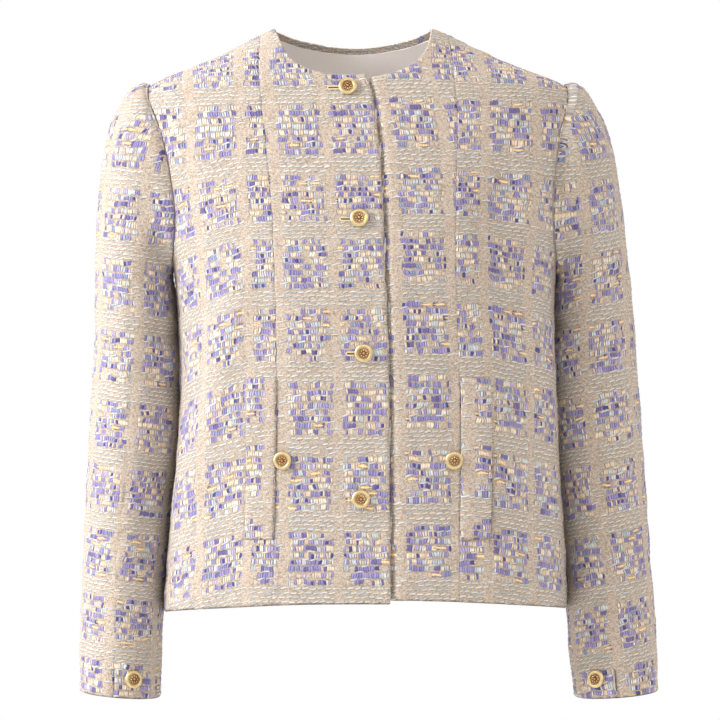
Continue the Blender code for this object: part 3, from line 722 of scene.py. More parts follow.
@dataclass
class ClothWall:
    """A closed wall of cloth with a fine outer layer and a coarser inner one.

    Attributes:
        name: The piece's name.
        columns: Steps across the inner layer; the outer one has twice as many.
        rows: Steps along it.
        thickness: The wall's thickness.
        tube: Whether its two long edges are sewn together.
        open_share: On a tube, the share of its length, from row 0, that stays unsewn.
    """

    name: str
    columns: int
    rows: int
    thickness: float = 2.2
    tube: bool = False
    open_share: float = 0.0

    def shares(self) -> Pair:
        """Shares across and along at each outer point, by row and column."""
        across = np.linspace(0, 1, 2 * self.columns + 1)
        along = np.linspace(0, 1, 2 * self.rows + 1)
        return np.meshgrid(across if self.tube else graded(across), graded(along))

    def flat_box(self) -> Mesh:
        """A flat box in shares: its outer layer at z 0, its inner one at z -1."""
        build = bmesh.new()
        bmesh.ops.create_grid(build, x_segments=self.columns, y_segments=self.rows, size=0.5)
        copy = bmesh.ops.duplicate(build, geom=build.faces[:])["geom"]
        inner = [part for part in copy if isinstance(part, bmesh.types.BMVert)]
        bmesh.ops.translate(build, verts=inner, vec=(0, 0, -1))
        rim = [edge for edge in build.edges if edge.is_boundary]
        bmesh.ops.bridge_loops(build, edges=rim)
        if self.tube:
            sewn = [face for face in build.faces if self.is_sewn(face)]
            bmesh.ops.delete(build, geom=sewn, context="FACES_ONLY")
        outer = [edge for edge in build.edges if all(v.co.z > -0.5 for v in edge.verts)]
        bmesh.ops.subdivide_edges(build, edges=outer, cuts=1, use_grid_fill=True)
        bmesh.ops.recalc_face_normals(build, faces=build.faces[:])
        return ended(build, self.name)

    def is_sewn(self, face: bmesh.types.BMFace) -> bool:
        """Whether a face of the flat box closes a tube's sewn edge."""
        middle = face.calc_center_median()
        return abs(middle.x) > 0.4999 and graded(middle.y + 0.5) > self.open_share

    def lay(
        self,
        points: Array,
        normals: Array,
        cloth: Array,
        lift: Array,
        materials: list[Material],
        edge_shade: Array | None = None,
    ) -> Object:
        """Gives the flat box its place.

        Args:
            points: The outer points, by row and column.
            normals: The directions out of them.
            cloth: The points' places across and along the cloth.
            lift: How far the outer layer stands out of its points.
            materials: The outer side's material and the inner side's.
            edge_shade: How far each point lies in painted shade along a rolled hem or a vent's
                slit, from 0 to 1.

        Returns:
            The finished piece.
        """
        mesh = self.flat_box()
        flat = values_of(mesh.vertices, "co", 3)
        column = np.rint((flat[:, 0] + 0.5) * 2 * self.columns).astype(int)
        row = np.rint((flat[:, 1] + 0.5) * 2 * self.rows).astype(int)
        inner = flat[:, 2] < -0.5
        out = np.where(inner, -self.thickness, lift[row, column])
        place = (points[row, column] + normals[row, column] * out[:, None]) * MM
        mesh.vertices.foreach_set("co", place.astype(np.float32).ravel())
        if edge_shade is not None:
            shares = mesh.attributes.new(EDGE_SHADE_NAME, "FLOAT", "POINT")
            shares.data.foreach_set("value", edge_shade[row, column].astype(np.float32))
        corners = values_of(mesh.loops, "vertex_index", 1)
        faces = np.repeat(np.arange(len(mesh.polygons)), values_of(mesh.polygons, "loop_total", 1))
        across, along = cloth[row, column][corners].T
        if self.tube:
            first = np.full(len(mesh.polygons), 2 * self.columns)
            np.minimum.at(first, faces, column[corners])
            past = first[faces] >= self.columns
            across = across - past * (cloth[:, -1, 0] - cloth[:, 0, 0])[row[corners]]
        layer = mesh.uv_layers.new(name=UV_NAME)
        layer.uv.foreach_set("vector", np.stack([across, along], 1).astype(np.float32).ravel())
        for material in materials:
            mesh.materials.append(material)
        lined = np.ones(len(mesh.polygons), bool)
        np.logical_and.at(lined, faces, inner[corners])
        mesh.polygons.foreach_set("material_index", lined.astype(np.int32))
        build = bmesh.new()
        build.from_mesh(mesh)
        bmesh.ops.remove_doubles(build, verts=build.verts[:], dist=0.00002)
        bmesh.ops.recalc_face_normals(build, faces=build.faces[:])
        build.to_mesh(mesh)
        build.free()
        return finished(mesh)


def values_of(rows: bpy.types.bpy_prop_collection, name: str, width: int) -> Array:
    """Reads one value of every row of a mesh, with its width in numbers."""
    values = np.empty(len(rows) * width, np.int32 if width == 1 else np.float32)
    rows.foreach_get(name, values)
    return values.reshape(-1, width).astype(float) if width > 1 else values


def ended(build: Build, name: str, *materials: Material) -> Mesh:
    """Ends a build as a named mesh with these materials."""
    mesh = bpy.data.meshes.new(name)
    build.to_mesh(mesh)
    build.free()
    for material in materials:
        mesh.materials.append(material)
    return mesh


def put(data: bpy.types.ID) -> Object:
    """Puts data in the scene as an object of its name."""
    item = bpy.data.objects.new(data.name, data)
    bpy.context.scene.collection.objects.link(item)
    return item


def finished(mesh: Mesh, sharp: float = 55) -> Object:
    """Puts a finished mesh in the scene, smooth but for its sharp edges."""
    mesh.shade_smooth()
    mesh.set_sharp_from_angle(angle=math.radians(sharp))
    return put(mesh)


def grid_normals(points: Array, like: Array | None = None) -> Array:
    """Directions out of a grid of points.

    Args:
        points: The points, by row and column.
        like: Rough directions out; without them, the grid's own turn is kept.

    Returns:
        The directions.
    """
    normal = unit(np.cross(np.gradient(points, axis=1), np.gradient(points, axis=0)))
    if like is None:
        return normal
    return normal * np.sign((normal * like).sum(-1, keepdims=True))


def edge_ways(points: Array) -> tuple[Array, Array, Array, Array]:
    """How far each point is from its piece's first and last columns and rows."""
    across = np.linalg.norm(np.diff(points, axis=1), axis=2)
    along = np.linalg.norm(np.diff(points, axis=0), axis=2)
    left = np.concatenate([np.zeros((len(points), 1)), np.cumsum(across, 1)], 1)
    low = np.concatenate([np.zeros((1, points.shape[1])), np.cumsum(along, 0)], 0)
    return left, left[:, -1:] - left, low, low[-1:] - low


def hem_edge_shade(way: Array, cloth: Array) -> Array:
    """How far points lie in painted shade along a hem's slightly ragged rolled edge, by their way
    from it.
    """
    return smooth((1.9 + 0.5 * ripple(31, cloth[..., 0], 0 * way, 9) - way) / 1.4)


def sew(piece: Object, node: str | None, cut: Array | None = None) -> None:
    """Fixes a piece to the jacket's body, hides the solid that it stands for and logs its cut's
    size.

    Args:
        piece: The piece.
        node: The solid that it stands for, if any.
        cut: A sheet's points, by row and column.
    """
    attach(piece, "root")
    if node:
        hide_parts(node)
    if cut is not None:
        ways = edge_ways(cut)
        width, length = float(ways[0][:, -1].max()) * MM, float(ways[2][-1].max()) * MM
        across, along = np.diff(cut, axis=1)[:-1], np.diff(cut, axis=0)[:, :-1]
        area = float(np.linalg.norm(np.cross(across, along), axis=2).sum()) * MM * MM
        area = min(max(area, 0.31 * width * length), width * length)
        log.info("%s: %.0f x %.0f mm, %.4f m2", piece.name, width / MM, length / MM, area)
    log.info("made %s with %d faces", piece.name, len(piece.data.polygons))


# --- finishes ---


def linear(colour: str) -> tuple[float, float, float, float]:
    """Turns an sRGB hex colour to linear."""
    parts = [int(colour[k : k + 2], 16) / 255 for k in (1, 3, 5)]
    return (*(p / 12.92 if p <= 0.04045 else ((p + 0.055) / 1.055) ** 2.4 for p in parts), 1.0)


@dataclass
class Recipe:
    """A material, or the room's light, as it is put together."""

    owner: Material | bpy.types.World

    def __post_init__(self) -> None:
        """Empties the owner's tree."""
        self.owner.use_nodes = True
        self.owner.node_tree.nodes.clear()

    @classmethod
    def named(cls, name: str) -> "Recipe":
        """Starts a material."""
        return cls(bpy.data.materials.new(name))

    def add(self, kind: str, *sockets: object, out: int = 0, **settings: object) -> object:
        """Adds a node with its settings and links.

        Args:
            kind: The node's kind, without its prefix, and its operation after a colon; an
                operation alone makes a Math node.
            sockets: Its inputs in order, or {name or number: input} sets; an input is
                another node's output, a value, or None to leave it.
            out: Which of its outputs to give back.
            settings: Its properties; "stops" are a ramp's places and sRGB colours.

        Returns:
            That output, or the node where it has none.
        """
        tree = self.owner.node_tree
        kind, _, operation = kind.partition(":")
        if kind.isupper():
            kind, operation = "Math", kind
        node = tree.nodes.new("ShaderNode" + kind)
        if operation:
            node.operation = operation
        stops = settings.pop("stops", None)
        if stops:
            ramp = node.color_ramp
            ramp.interpolation = settings.pop("interpolation", "CONSTANT")
            while len(ramp.elements) < len(stops):
                ramp.elements.new(1.0)
            for element, (place, colour) in zip(ramp.elements, stops):
                element.position, element.color = place, linear(colour)
        for name, value in settings.items():
            setattr(node, name, value)
        given: dict[object, object] = {}
        for number, socket in enumerate(sockets):
            given.update(socket if isinstance(socket, dict) else {number: socket})
        for key, value in given.items():
            if isinstance(value, Socket):
                tree.links.new(value, node.inputs[key])
            elif value is not None:
                node.inputs[key].default_value = value
        return node.outputs[out] if node.outputs else node

    def finish(self, shader: dict[str, object]) -> Material:
        """Ends the material with a shader of these inputs."""
        self.add("OutputMaterial", self.add("BsdfPrincipled", shader))
        return self.owner


class Draw(Enum):
    """What a random draw decides, as the number that keeps it apart from the others."""

    YARN = 2.0
    STRAY_DASH = 4.0
    THREAD = 5.0
    START = 7.0
    LEFT_OUT = 9.0
    DASH = 12.0
    GOLD = 15.0
    LEVEL = 21.0


class Spot(NamedTuple):
    """Where a point of the cloth lies in the weave, as sockets that all its yarns share."""

    # Its place in millimetres of cloth, with the slubs' wander, and that place's two parts.
    warped: Socket
    across: Socket
    along: Socket
    # Its place in threads, its row's number and its float's first thread's number.
    thread: Socket
    row_no: Socket
    start: Socket
    # A draw of its own for its thread in its row.
    own: Socket
    # How far it is from the middle of its thread, of its row, and of its float, which lies
    # a little high or low, in threads and rows.
    edge: Socket
    middle: Socket
    level: Socket
    # The numbers of its thread and its row in the check's repeat.
    column: Socket
    band: Socket
    # 1 on a block's columns, on a block's rows, and in a block.
    in_columns: Socket
    in_rows: Socket
    block: Socket


def step_of(add: Add, place: Socket) -> tuple[Socket, Socket]:
    """A place's whole number, and how far it is past that step's middle."""
    return add("FLOOR", place), add("SUBTRACT", add("FRACT", place), 0.5)


@dataclass(frozen=True)
class Tweed:
    """Woven slub tweed: matte wool with thick floats and a loose basket ground.

    Places and lengths are in millimetres of cloth, or in threads or rows where said.
    """

    check: Check
    name: str = "woven slub tweed"
    # The floats' yarns: violet, lilac, cream, ice blue, slate and plum.
    yarns: Stops = (
        (0.00, "#958EC5"),
        (0.16, "#A39BCD"),
        (0.28, "#BDB3D6"),
        (0.38, "#EBDDC6"),
        (0.53, "#E5D0B5"),
        (0.66, "#D0D8D9"),
        (0.79, "#929DC0"),
        (0.86, "#C2CCD0"),
        (0.94, "#766EA3"),
    )
    # How dark the bindings between each yarn's threads are.
    bindings: Stops = (
        (0.0, "#D0D0D0"),
        (0.38, "#787878"),
        (0.66, "#A0A0A0"),
        (0.79, "#D0D0D0"),
    )
    wool: Stops = (
        (0.32, "#A09282"),
        (0.44, "#B8AA9A"),
        (0.56, "#C6B8AA"),
        (0.70, "#D9D1C9"),
    )
    floats: Stops = (
        (0.0, "#D6D9DB"),
        (0.45, "#C4CED4"),
        (0.75, "#D9D2C7"),
        (0.9, "#AEBAC6"),
    )
    # The gold slubs from middle to edge: a painted highlight, the gold, then painted shade.
    gold: Stops = (
        (0.0, "#F3E2C0"),
        (0.14, "#DFC092"),
        (0.26, "#97714B"),
    )
    binding_colour: str = "#4F4C82"
    # The painted shade along the floats' rims.
    rim_shade_colour: str = "#5A4F66"
    # The painted shade's colour along rolled hems and in the vents' slits.
    edge_shade_colour: str = "#4B4042"
    wander: float = 4.4
    wander_scale: float = 0.09
    # How often a thread starts a new float, on even and on odd places.
    new_float: tuple[float, float] = (0.88, 0.30)
    level_slack: float = 0.08
    # The share of floats left out inside a block and at its side edges, and the more of
    # them that its first and last rows leave out.
    left_out: tuple[float, float] = (0.12, 0.36)
    left_out_more: float = 0.14
    dash_length: float = 7.29
    stray_length: float = 9.0
    # How often a dash shows on the plain columns, and on the others off and in the blocks.
    plain_dashes: float = 0.25
    dashes_off: float = 0.95
    dashes_in: float = 0.24
    dash_slant: float = -0.28
    slub_length: float = 12.6
    slub_share: float = 0.06
    # How far each row's dashes and gold slubs are out of step with the last row's.
    step: float = 0.41

    def spot(self, add: Add) -> Spot:
        """Works out where a point lies in the weave.

        Args:
            add: Adds a node to the material.

        Returns:
            The point's place, in sockets.
        """
        check, where = self.check, add("UVMap", uv_map=UV_NAME)
        # Hand-fed slubs wander, mostly by less than half a millimetre.
        wander = {"Vector": where, "Scale": self.wander_scale, "Detail": 1.0}
        wander = add("VectorMath:SUBTRACT", add("TexNoise", wander, out=1), (0.5, 0.5, 0.5))
        wander = add("VectorMath:SCALE", wander, {"Scale": self.wander})
        warped = add("VectorMath:ADD", where, wander)
        across, along = (add("SeparateXYZ", warped, out=k) for k in (0, 1))
        thread = add("DIVIDE", across, check.thread)
        thread_no, edge = step_of(add, thread)
        row_no, middle = step_of(add, add("DIVIDE", along, check.row))
        own = add("TexWhiteNoise", add("CombineXYZ", thread_no, row_no, Draw.THREAD.value))

        # A float goes over one to four threads, most often two, in its own yarn.
        start = add("SUBTRACT", thread_no, 3.0)
        for back in (2.0, 1.0, 0.0):
            here = add("SUBTRACT", thread_no, back)
            chance = add("TexWhiteNoise", add("CombineXYZ", here, row_no, Draw.START.value))
            odd = add("FLOORED_MODULO", add("ADD", here, row_no), 2.0)
            often = add("MapRange", odd, 0.0, 1.0, *self.new_float)
            new = add("LESS_THAN", chance, often)
            start = add("Mix", {"Factor": new, 2: start, 3: here}, data_type="FLOAT")

        # No two floats of a row lie quite level, and their edges are ragged.
        level = add("TexWhiteNoise", add("CombineXYZ", start, row_no, Draw.LEVEL.value))
        level = add("MapRange", level, 0.0, 1.0, -self.level_slack, self.level_slack)
        level = add("ADD", middle, level)
        ragged = add("TexNoise", {"Vector": warped, "Scale": 0.5, "Detail": 2.0})
        ragged = add("SUBTRACT", ragged, 0.5)
        middle, level = (
            add("MULTIPLY_ADD", ragged, 0.38, add("ABSOLUTE", way)) for way in (middle, level)
        )

        column = add("FLOORED_MODULO", thread_no, float(check.repeat_threads))
        in_columns = add("LESS_THAN", column, check.block_threads - 0.5)
        band = add("FLOORED_MODULO", row_no, float(check.repeat_rows))
        in_rows = add("LESS_THAN", band, check.block_rows - 0.5)
        in_rows = add("MULTIPLY", in_rows, add("GREATER_THAN", along, 0.0))
        block = add("MULTIPLY", in_columns, in_rows)
        edge = add("ABSOLUTE", edge)
        place = (warped, across, along, thread, row_no, start, own, edge, middle, level)
        return Spot(*place, column, band, in_columns, in_rows, block)

    def yarn(self, add: Add, spot: Spot) -> Socket:
        """The colour of a point's float, with the dark bindings between its threads."""
        # Violet floats mostly take turns with pale ones.
        turn = add("MULTIPLY", add("ADD", spot.start, spot.row_no), 0.5)
        turn = add("FLOORED_MODULO", add("FLOOR", turn), 2.0)
        turn = add("MULTIPLY", turn, 0.5)
        yarn = add("CombineXYZ", spot.start, spot.row_no, Draw.YARN.value)
        yarn = add("MULTIPLY_ADD", add("TexWhiteNoise", yarn), 0.62, turn)
        yarn = add("FRACT", yarn)
        colour = add("ValToRGB", yarn, stops=self.yarns)
        bound = add("ValToRGB", yarn, stops=self.bindings)
        tone = add("MapRange", spot.own, 0.0, 1.0, 0.82, 1.12)
        colour = add("HueSaturation", {"Value": tone, "Color": colour})
        binding = add("MULTIPLY", add("MapRange", spot.edge, 0.27, 0.47), bound)
        # Between two floats the binding shows as a clear dark line.
        into = add("SUBTRACT", spot.thread, spot.start)
        between = add("MapRange", into, 0.14, 0.30, 1.0, 0.0)
        binding = add("MAXIMUM", binding, between)
        plum = add("GREATER_THAN", spot.own, 0.95)
        binding = add("MAXIMUM", binding, plum)
        dark = {"Factor": binding, 6: colour, 7: linear(self.binding_colour)}
        return add("Mix", dark, data_type="RGBA", out=2)

    def cell(self, add: Add, spot: Spot) -> tuple[Socket, Socket]:
        """The floats of the blocks.

        Args:
            add: Adds a node to the material.
            spot: The point's place in the weave.

        Returns:
            Where a float shows, and its colour.
        """
        # Each thread of a float is a rounded bar, with painted shade along its rim where it rounds
        # away.
        ends = add("POWER", spot.edge, 4.0)
        ends = add("MULTIPLY_ADD", ends, 1.6, spot.level)
        ends = add("ADD", ends, add("MapRange", spot.own, 0.0, 1.0, -0.03, 0.06))
        bar = add("MapRange", ends, 0.36, 0.45, 1.0, 0.0, interpolation_type="SMOOTHSTEP")
        rim = add("MapRange", ends, 0.26, 0.42, 0.0, 0.45)
        dark = {"Factor": rim, 6: self.yarn(add, spot), 7: linear(self.rim_shade_colour)}
        colour = add("Mix", dark, data_type="RGBA", out=2)
        # A few floats are left out, and more of them along a block's edges.
        counts = (spot.column, self.check.block_threads), (spot.band, self.check.block_rows)
        beside, over = (
            add("ABSOLUTE", add("SUBTRACT", place, (count - 1) / 2)) for place, count in counts
        )
        missing = add("MapRange", beside, 6.5, 8.5, *self.left_out)
        missing = add("ADD", missing, add("MapRange", over, 2.5, 3.5, 0.0, self.left_out_more))
        kept = add("CombineXYZ", spot.start, spot.row_no, Draw.LEFT_OUT.value)
        kept = add("GREATER_THAN", add("TexWhiteNoise", kept), missing)
        shown = add("MULTIPLY", add("MULTIPLY", bar, spot.block), kept)
        return shown, colour

    def dashes(self, add: Add, spot: Spot) -> tuple[Socket, Socket, Socket]:
        """Short pale floats: close lines off the blocks, a few between the blocks' rows.

        Args:
            add: Adds a node to the material.
            spot: The point's place in the weave.

        Returns:
            Where a dash shows, the shadow below it, and its colour.
        """
        dash, shade, seen = 0.0, 0.0, None
        off_rows = add("SUBTRACT", 1.0, spot.in_rows)
        row = self.check.row
        for pitch, length, shift, draw, often, within in (
            (row, self.stray_length, 0.5, Draw.STRAY_DASH, self.dashes_in, spot.in_rows),
            (row * 2 / 3, self.dash_length, 0.1, Draw.DASH, self.dashes_off, off_rows),
        ):
            line = add("MULTIPLY_ADD", spot.along, 1 / pitch, shift)
            line_no = add("FLOOR", line)
            place = add("DIVIDE", spot.across, length)
            place = add("MULTIPLY_ADD", line_no, self.step, place)
            place_no, off = step_of(add, place)
            shown = add("MapRange", add("ABSOLUTE", off), 0.34, 0.42, 1.0, 0.0)
            line = add("MULTIPLY_ADD", off, self.dash_slant, line)
            line = add("SUBTRACT", add("FRACT", line), 0.5)
            line = add("MULTIPLY", line, pitch)
            on_line = add("MapRange", add("ABSOLUTE", line), 0.5, 0.85, 1.0, 0.0)
            under = add("MapRange", line, -1.9, -0.7)
            under = add("MULTIPLY", under, add("MapRange", line, -0.7, 0.0, 1.0, 0.0))
            seen = add("TexWhiteNoise", add("CombineXYZ", line_no, place_no, draw.value))
            chance = add("MapRange", spot.in_columns, 0.0, 1.0, self.plain_dashes, often)
            shown = add("MULTIPLY", shown, add("LESS_THAN", seen, chance))
            shown = add("MULTIPLY", shown, within)
            shade = add("MULTIPLY_ADD", shown, under, shade)
            dash = add("MULTIPLY_ADD", shown, on_line, dash)
        return dash, shade, add("ValToRGB", seen, stops=self.floats)

    def gold_slubs(self, add: Add, spot: Spot) -> tuple[Socket, Socket]:
        """Long gold slubs that take the place of a few floats.

        Args:
            add: Adds a node to the material.
            spot: The point's place in the weave.

        Returns:
            Where a slub shows, and its colour.
        """
        slub = add("DIVIDE", spot.across, self.slub_length)
        slub = add("MULTIPLY_ADD", spot.row_no, self.step, slub)
        slub_no, slub = step_of(add, slub)
        chosen = add("TexWhiteNoise", add("CombineXYZ", slub_no, spot.row_no, Draw.GOLD.value))
        chosen = add("GREATER_THAN", chosen, 1 - self.slub_share)
        slub = add("POWER", add("ABSOLUTE", slub), 4.0)
        slub = add("MULTIPLY_ADD", slub, 4.0, spot.middle)
        shown = add("MULTIPLY", add("LESS_THAN", slub, 0.27), chosen)
        shown = add("MULTIPLY", shown, spot.block)
        # Its colour runs from a painted highlight in the middle to painted shade round its edges.
        return shown, add("ValToRGB", slub, stops=self.gold, interpolation="LINEAR")

    def ground(self, add: Add, spot: Spot, basket: Socket, fuzz: Socket, shade: Socket) -> Socket:
        """The ground: a basket of slubby beige wool with paler and darker hairs.

        Args:
            add: Adds a node to the material.
            spot: The point's place in the weave.
            basket: How far it is from its knot of the basket, whose hollows take painted shade.
            fuzz: The wool's fine unevenness.
            shade: The shadow below the dashes.

        Returns:
            The ground's colour.
        """
        ground = add("ValToRGB", fuzz, stops=self.wool, interpolation="LINEAR")
        streak, hairs = (
            {"Vector": add("VectorMath:MULTIPLY", spot.warped, way), "Scale": 1.0, "Detail": fine}
            for way, fine in (((0.45, 0.05, 1.0), 2.0), ((0.25, 1.1, 1.0), 3.0))
        )
        streak = add("MapRange", add("TexNoise", streak), 0.5, 0.62, 0.0, 0.55)
        streak = add("MULTIPLY", streak, add("SUBTRACT", 1.0, spot.in_columns))
        # Painted shade in the gaps between the blocks' rows.
        painted_row_shade = add("MapRange", spot.middle, 0.38, 0.49, 0.0, 0.4)
        painted_row_shade = add("MULTIPLY", painted_row_shade, spot.block)
        open_row = add("SUBTRACT", 1.0, spot.in_rows)
        open_row = add("MULTIPLY", open_row, spot.in_columns)
        for share, colour in (
            (streak, "#CBB3A2"),
            (add("MapRange", add("TexNoise", hairs), 0.50, 0.66, 0.0, 0.7), "#D3D0CD"),
            (add("MULTIPLY", open_row, 0.30), "#A39C92"),
            # The basket's hollows take painted shade.
            (add("MapRange", basket, 0.42, 0.75, 0.0, 0.68), "#897B6D"),
            (painted_row_shade, "#857564"),
            (add("MULTIPLY", shade, 0.6), "#7A6A5B"),
        ):
            blend = {"Factor": share, 6: ground, 7: linear(colour)}
            ground = add("Mix", blend, data_type="RGBA", out=2)
        return ground

    def material(self) -> Material:
        """Builds the cloth's look on the piece's own map of millimetres."""
        made = Recipe.named(self.name)
        add = made.add
        spot = self.spot(add)
        cell, yarn_colour = self.cell(add, spot)
        dash, shade, pale = self.dashes(add, spot)
        gold, slub_lit_shaded_colour = self.gold_slubs(add, spot)
        basket = add("VectorMath:MULTIPLY", spot.warped, (0.55, 0.8, 1.0))
        basket = add("TexVoronoi", {"Vector": basket, "Scale": 1.0, "Randomness": 0.7})
        fuzz = {"Vector": spot.warped, "Scale": 0.42, "Detail": 4.0, "Roughness": 0.75}
        fuzz = add("TexNoise", fuzz)
        # Painted shade along the rolled hems and in the vents' slits, uneven with the wool's fuzz.
        edge_shade = add("Attribute", out=2, attribute_name=EDGE_SHADE_NAME)
        edge_shade = add("MULTIPLY", edge_shade, add("MapRange", fuzz, 0.35, 0.65, 0.95, 0.6))
        colour = self.ground(add, spot, basket, fuzz, shade)
        for share, over in (
            (cell, yarn_colour),
            (gold, slub_lit_shaded_colour),
            (dash, pale),
            (edge_shade, linear(self.edge_shade_colour)),
        ):
            colour = add("Mix", {"Factor": share, 6: colour, 7: over}, data_type="RGBA", out=2)

        # Heights in millimetres: the floats' crowns, their threads, dashes and wool grain.
        crown = add("MULTIPLY", spot.middle, spot.middle)
        crown = add("MULTIPLY_ADD", crown, -3.6, 0.85)
        ribs = add("ADD", crown, add("MapRange", spot.edge, 0.15, 0.5, 0.25, -0.35))
        grain = add("MULTIPLY_ADD", basket, -0.6, 0.3)
        grain = add("MULTIPLY_ADD", fuzz, 0.8, grain)
        height = add("MULTIPLY_ADD", ribs, cell, grain)
        height = add("MULTIPLY_ADD", dash, 0.6, height)
        # Wool scatters light: very rough, with a faint sheen of loose hairs.
        return made.finish(
            {
                "Base Color": colour,
                "Roughness": 0.88,
                "Specular IOR Level": 0.25,
                "Sheen Weight": 0.1,
                "Sheen Roughness": 0.6,
                "Normal": add("Bump", {"Strength": 1.0, "Distance": MM, "Height": height}),
            }
        )


@dataclass(frozen=True)
class Satin:
    """Woven satin lining: smooth, with a soft broad shine and barely seen slubs."""

    colour: str = "#F2EDEB"
    shade: str = "#E8E3E0"
    name: str = "woven satin lining"

    def material(self) -> Material:
        """Builds the lining's look."""
        made = Recipe.named(self.name)
        add = made.add
        where = add("UVMap", uv_map=UV_NAME)
        fine = add("TexNoise", {"Vector": where, "Scale": 0.9, "Detail": 3.0})
        stops = ((0.3, self.shade), (0.7, self.colour))
        tone = add("ValToRGB", fine, stops=stops, interpolation="LINEAR")
        soft = add("TexNoise", {"Vector": where, "Scale": 0.03, "Detail": 2.0})
        bump = add("Bump", {"Strength": 0.5, "Distance": MM, "Height": soft})
        shader = {
            "Base Color": tone,
            "Roughness": 0.5,
            "Specular IOR Level": 0.4,
            "Sheen Weight": 0.2,
            "Normal": bump,
        }
        return made.finish(shader)


@dataclass(frozen=True)
class Metal:
    """Cast metal with an uneven plated surface.

    Attributes:
        name: The material's name.
        colour: Its colour.
        dull: A darker colour that lies in patches.
        roughness: How much it scatters light.
    """

    name: str
    colour: str
    dull: str
    roughness: float

    def material(self) -> Material:
        """Builds the metal's look."""
        made = Recipe.named(self.name)
        add = made.add
        where = add("TexCoord", out=3)
        # Uneven plating, in patches of about a millimetre.
        uneven = add("TexNoise", {"Vector": where, "Scale": 900.0, "Detail": 2.0})
        stops = ((0.35, self.dull), (0.65, self.colour))
        tone = add("ValToRGB", uneven, stops=stops, interpolation="LINEAR")
        bump = add("Bump", {"Strength": 0.15, "Distance": 0.0001, "Height": uneven})
        shader = {"Base Color": tone, "Metallic": 1.0, "Roughness": self.roughness, "Normal": bump}
        return made.finish(shader)


@dataclass(frozen=True)
class Plain:
    """A plain even surface, such as thread or the studio floor."""

    name: str
    colour: str
    roughness: float

    def material(self) -> Material:
        """Builds the plain look."""
        shader = {"Base Color": linear(self.colour), "Roughness": self.roughness}
        return Recipe.named(self.name).finish(shader)


# --- the jacket's pieces ---


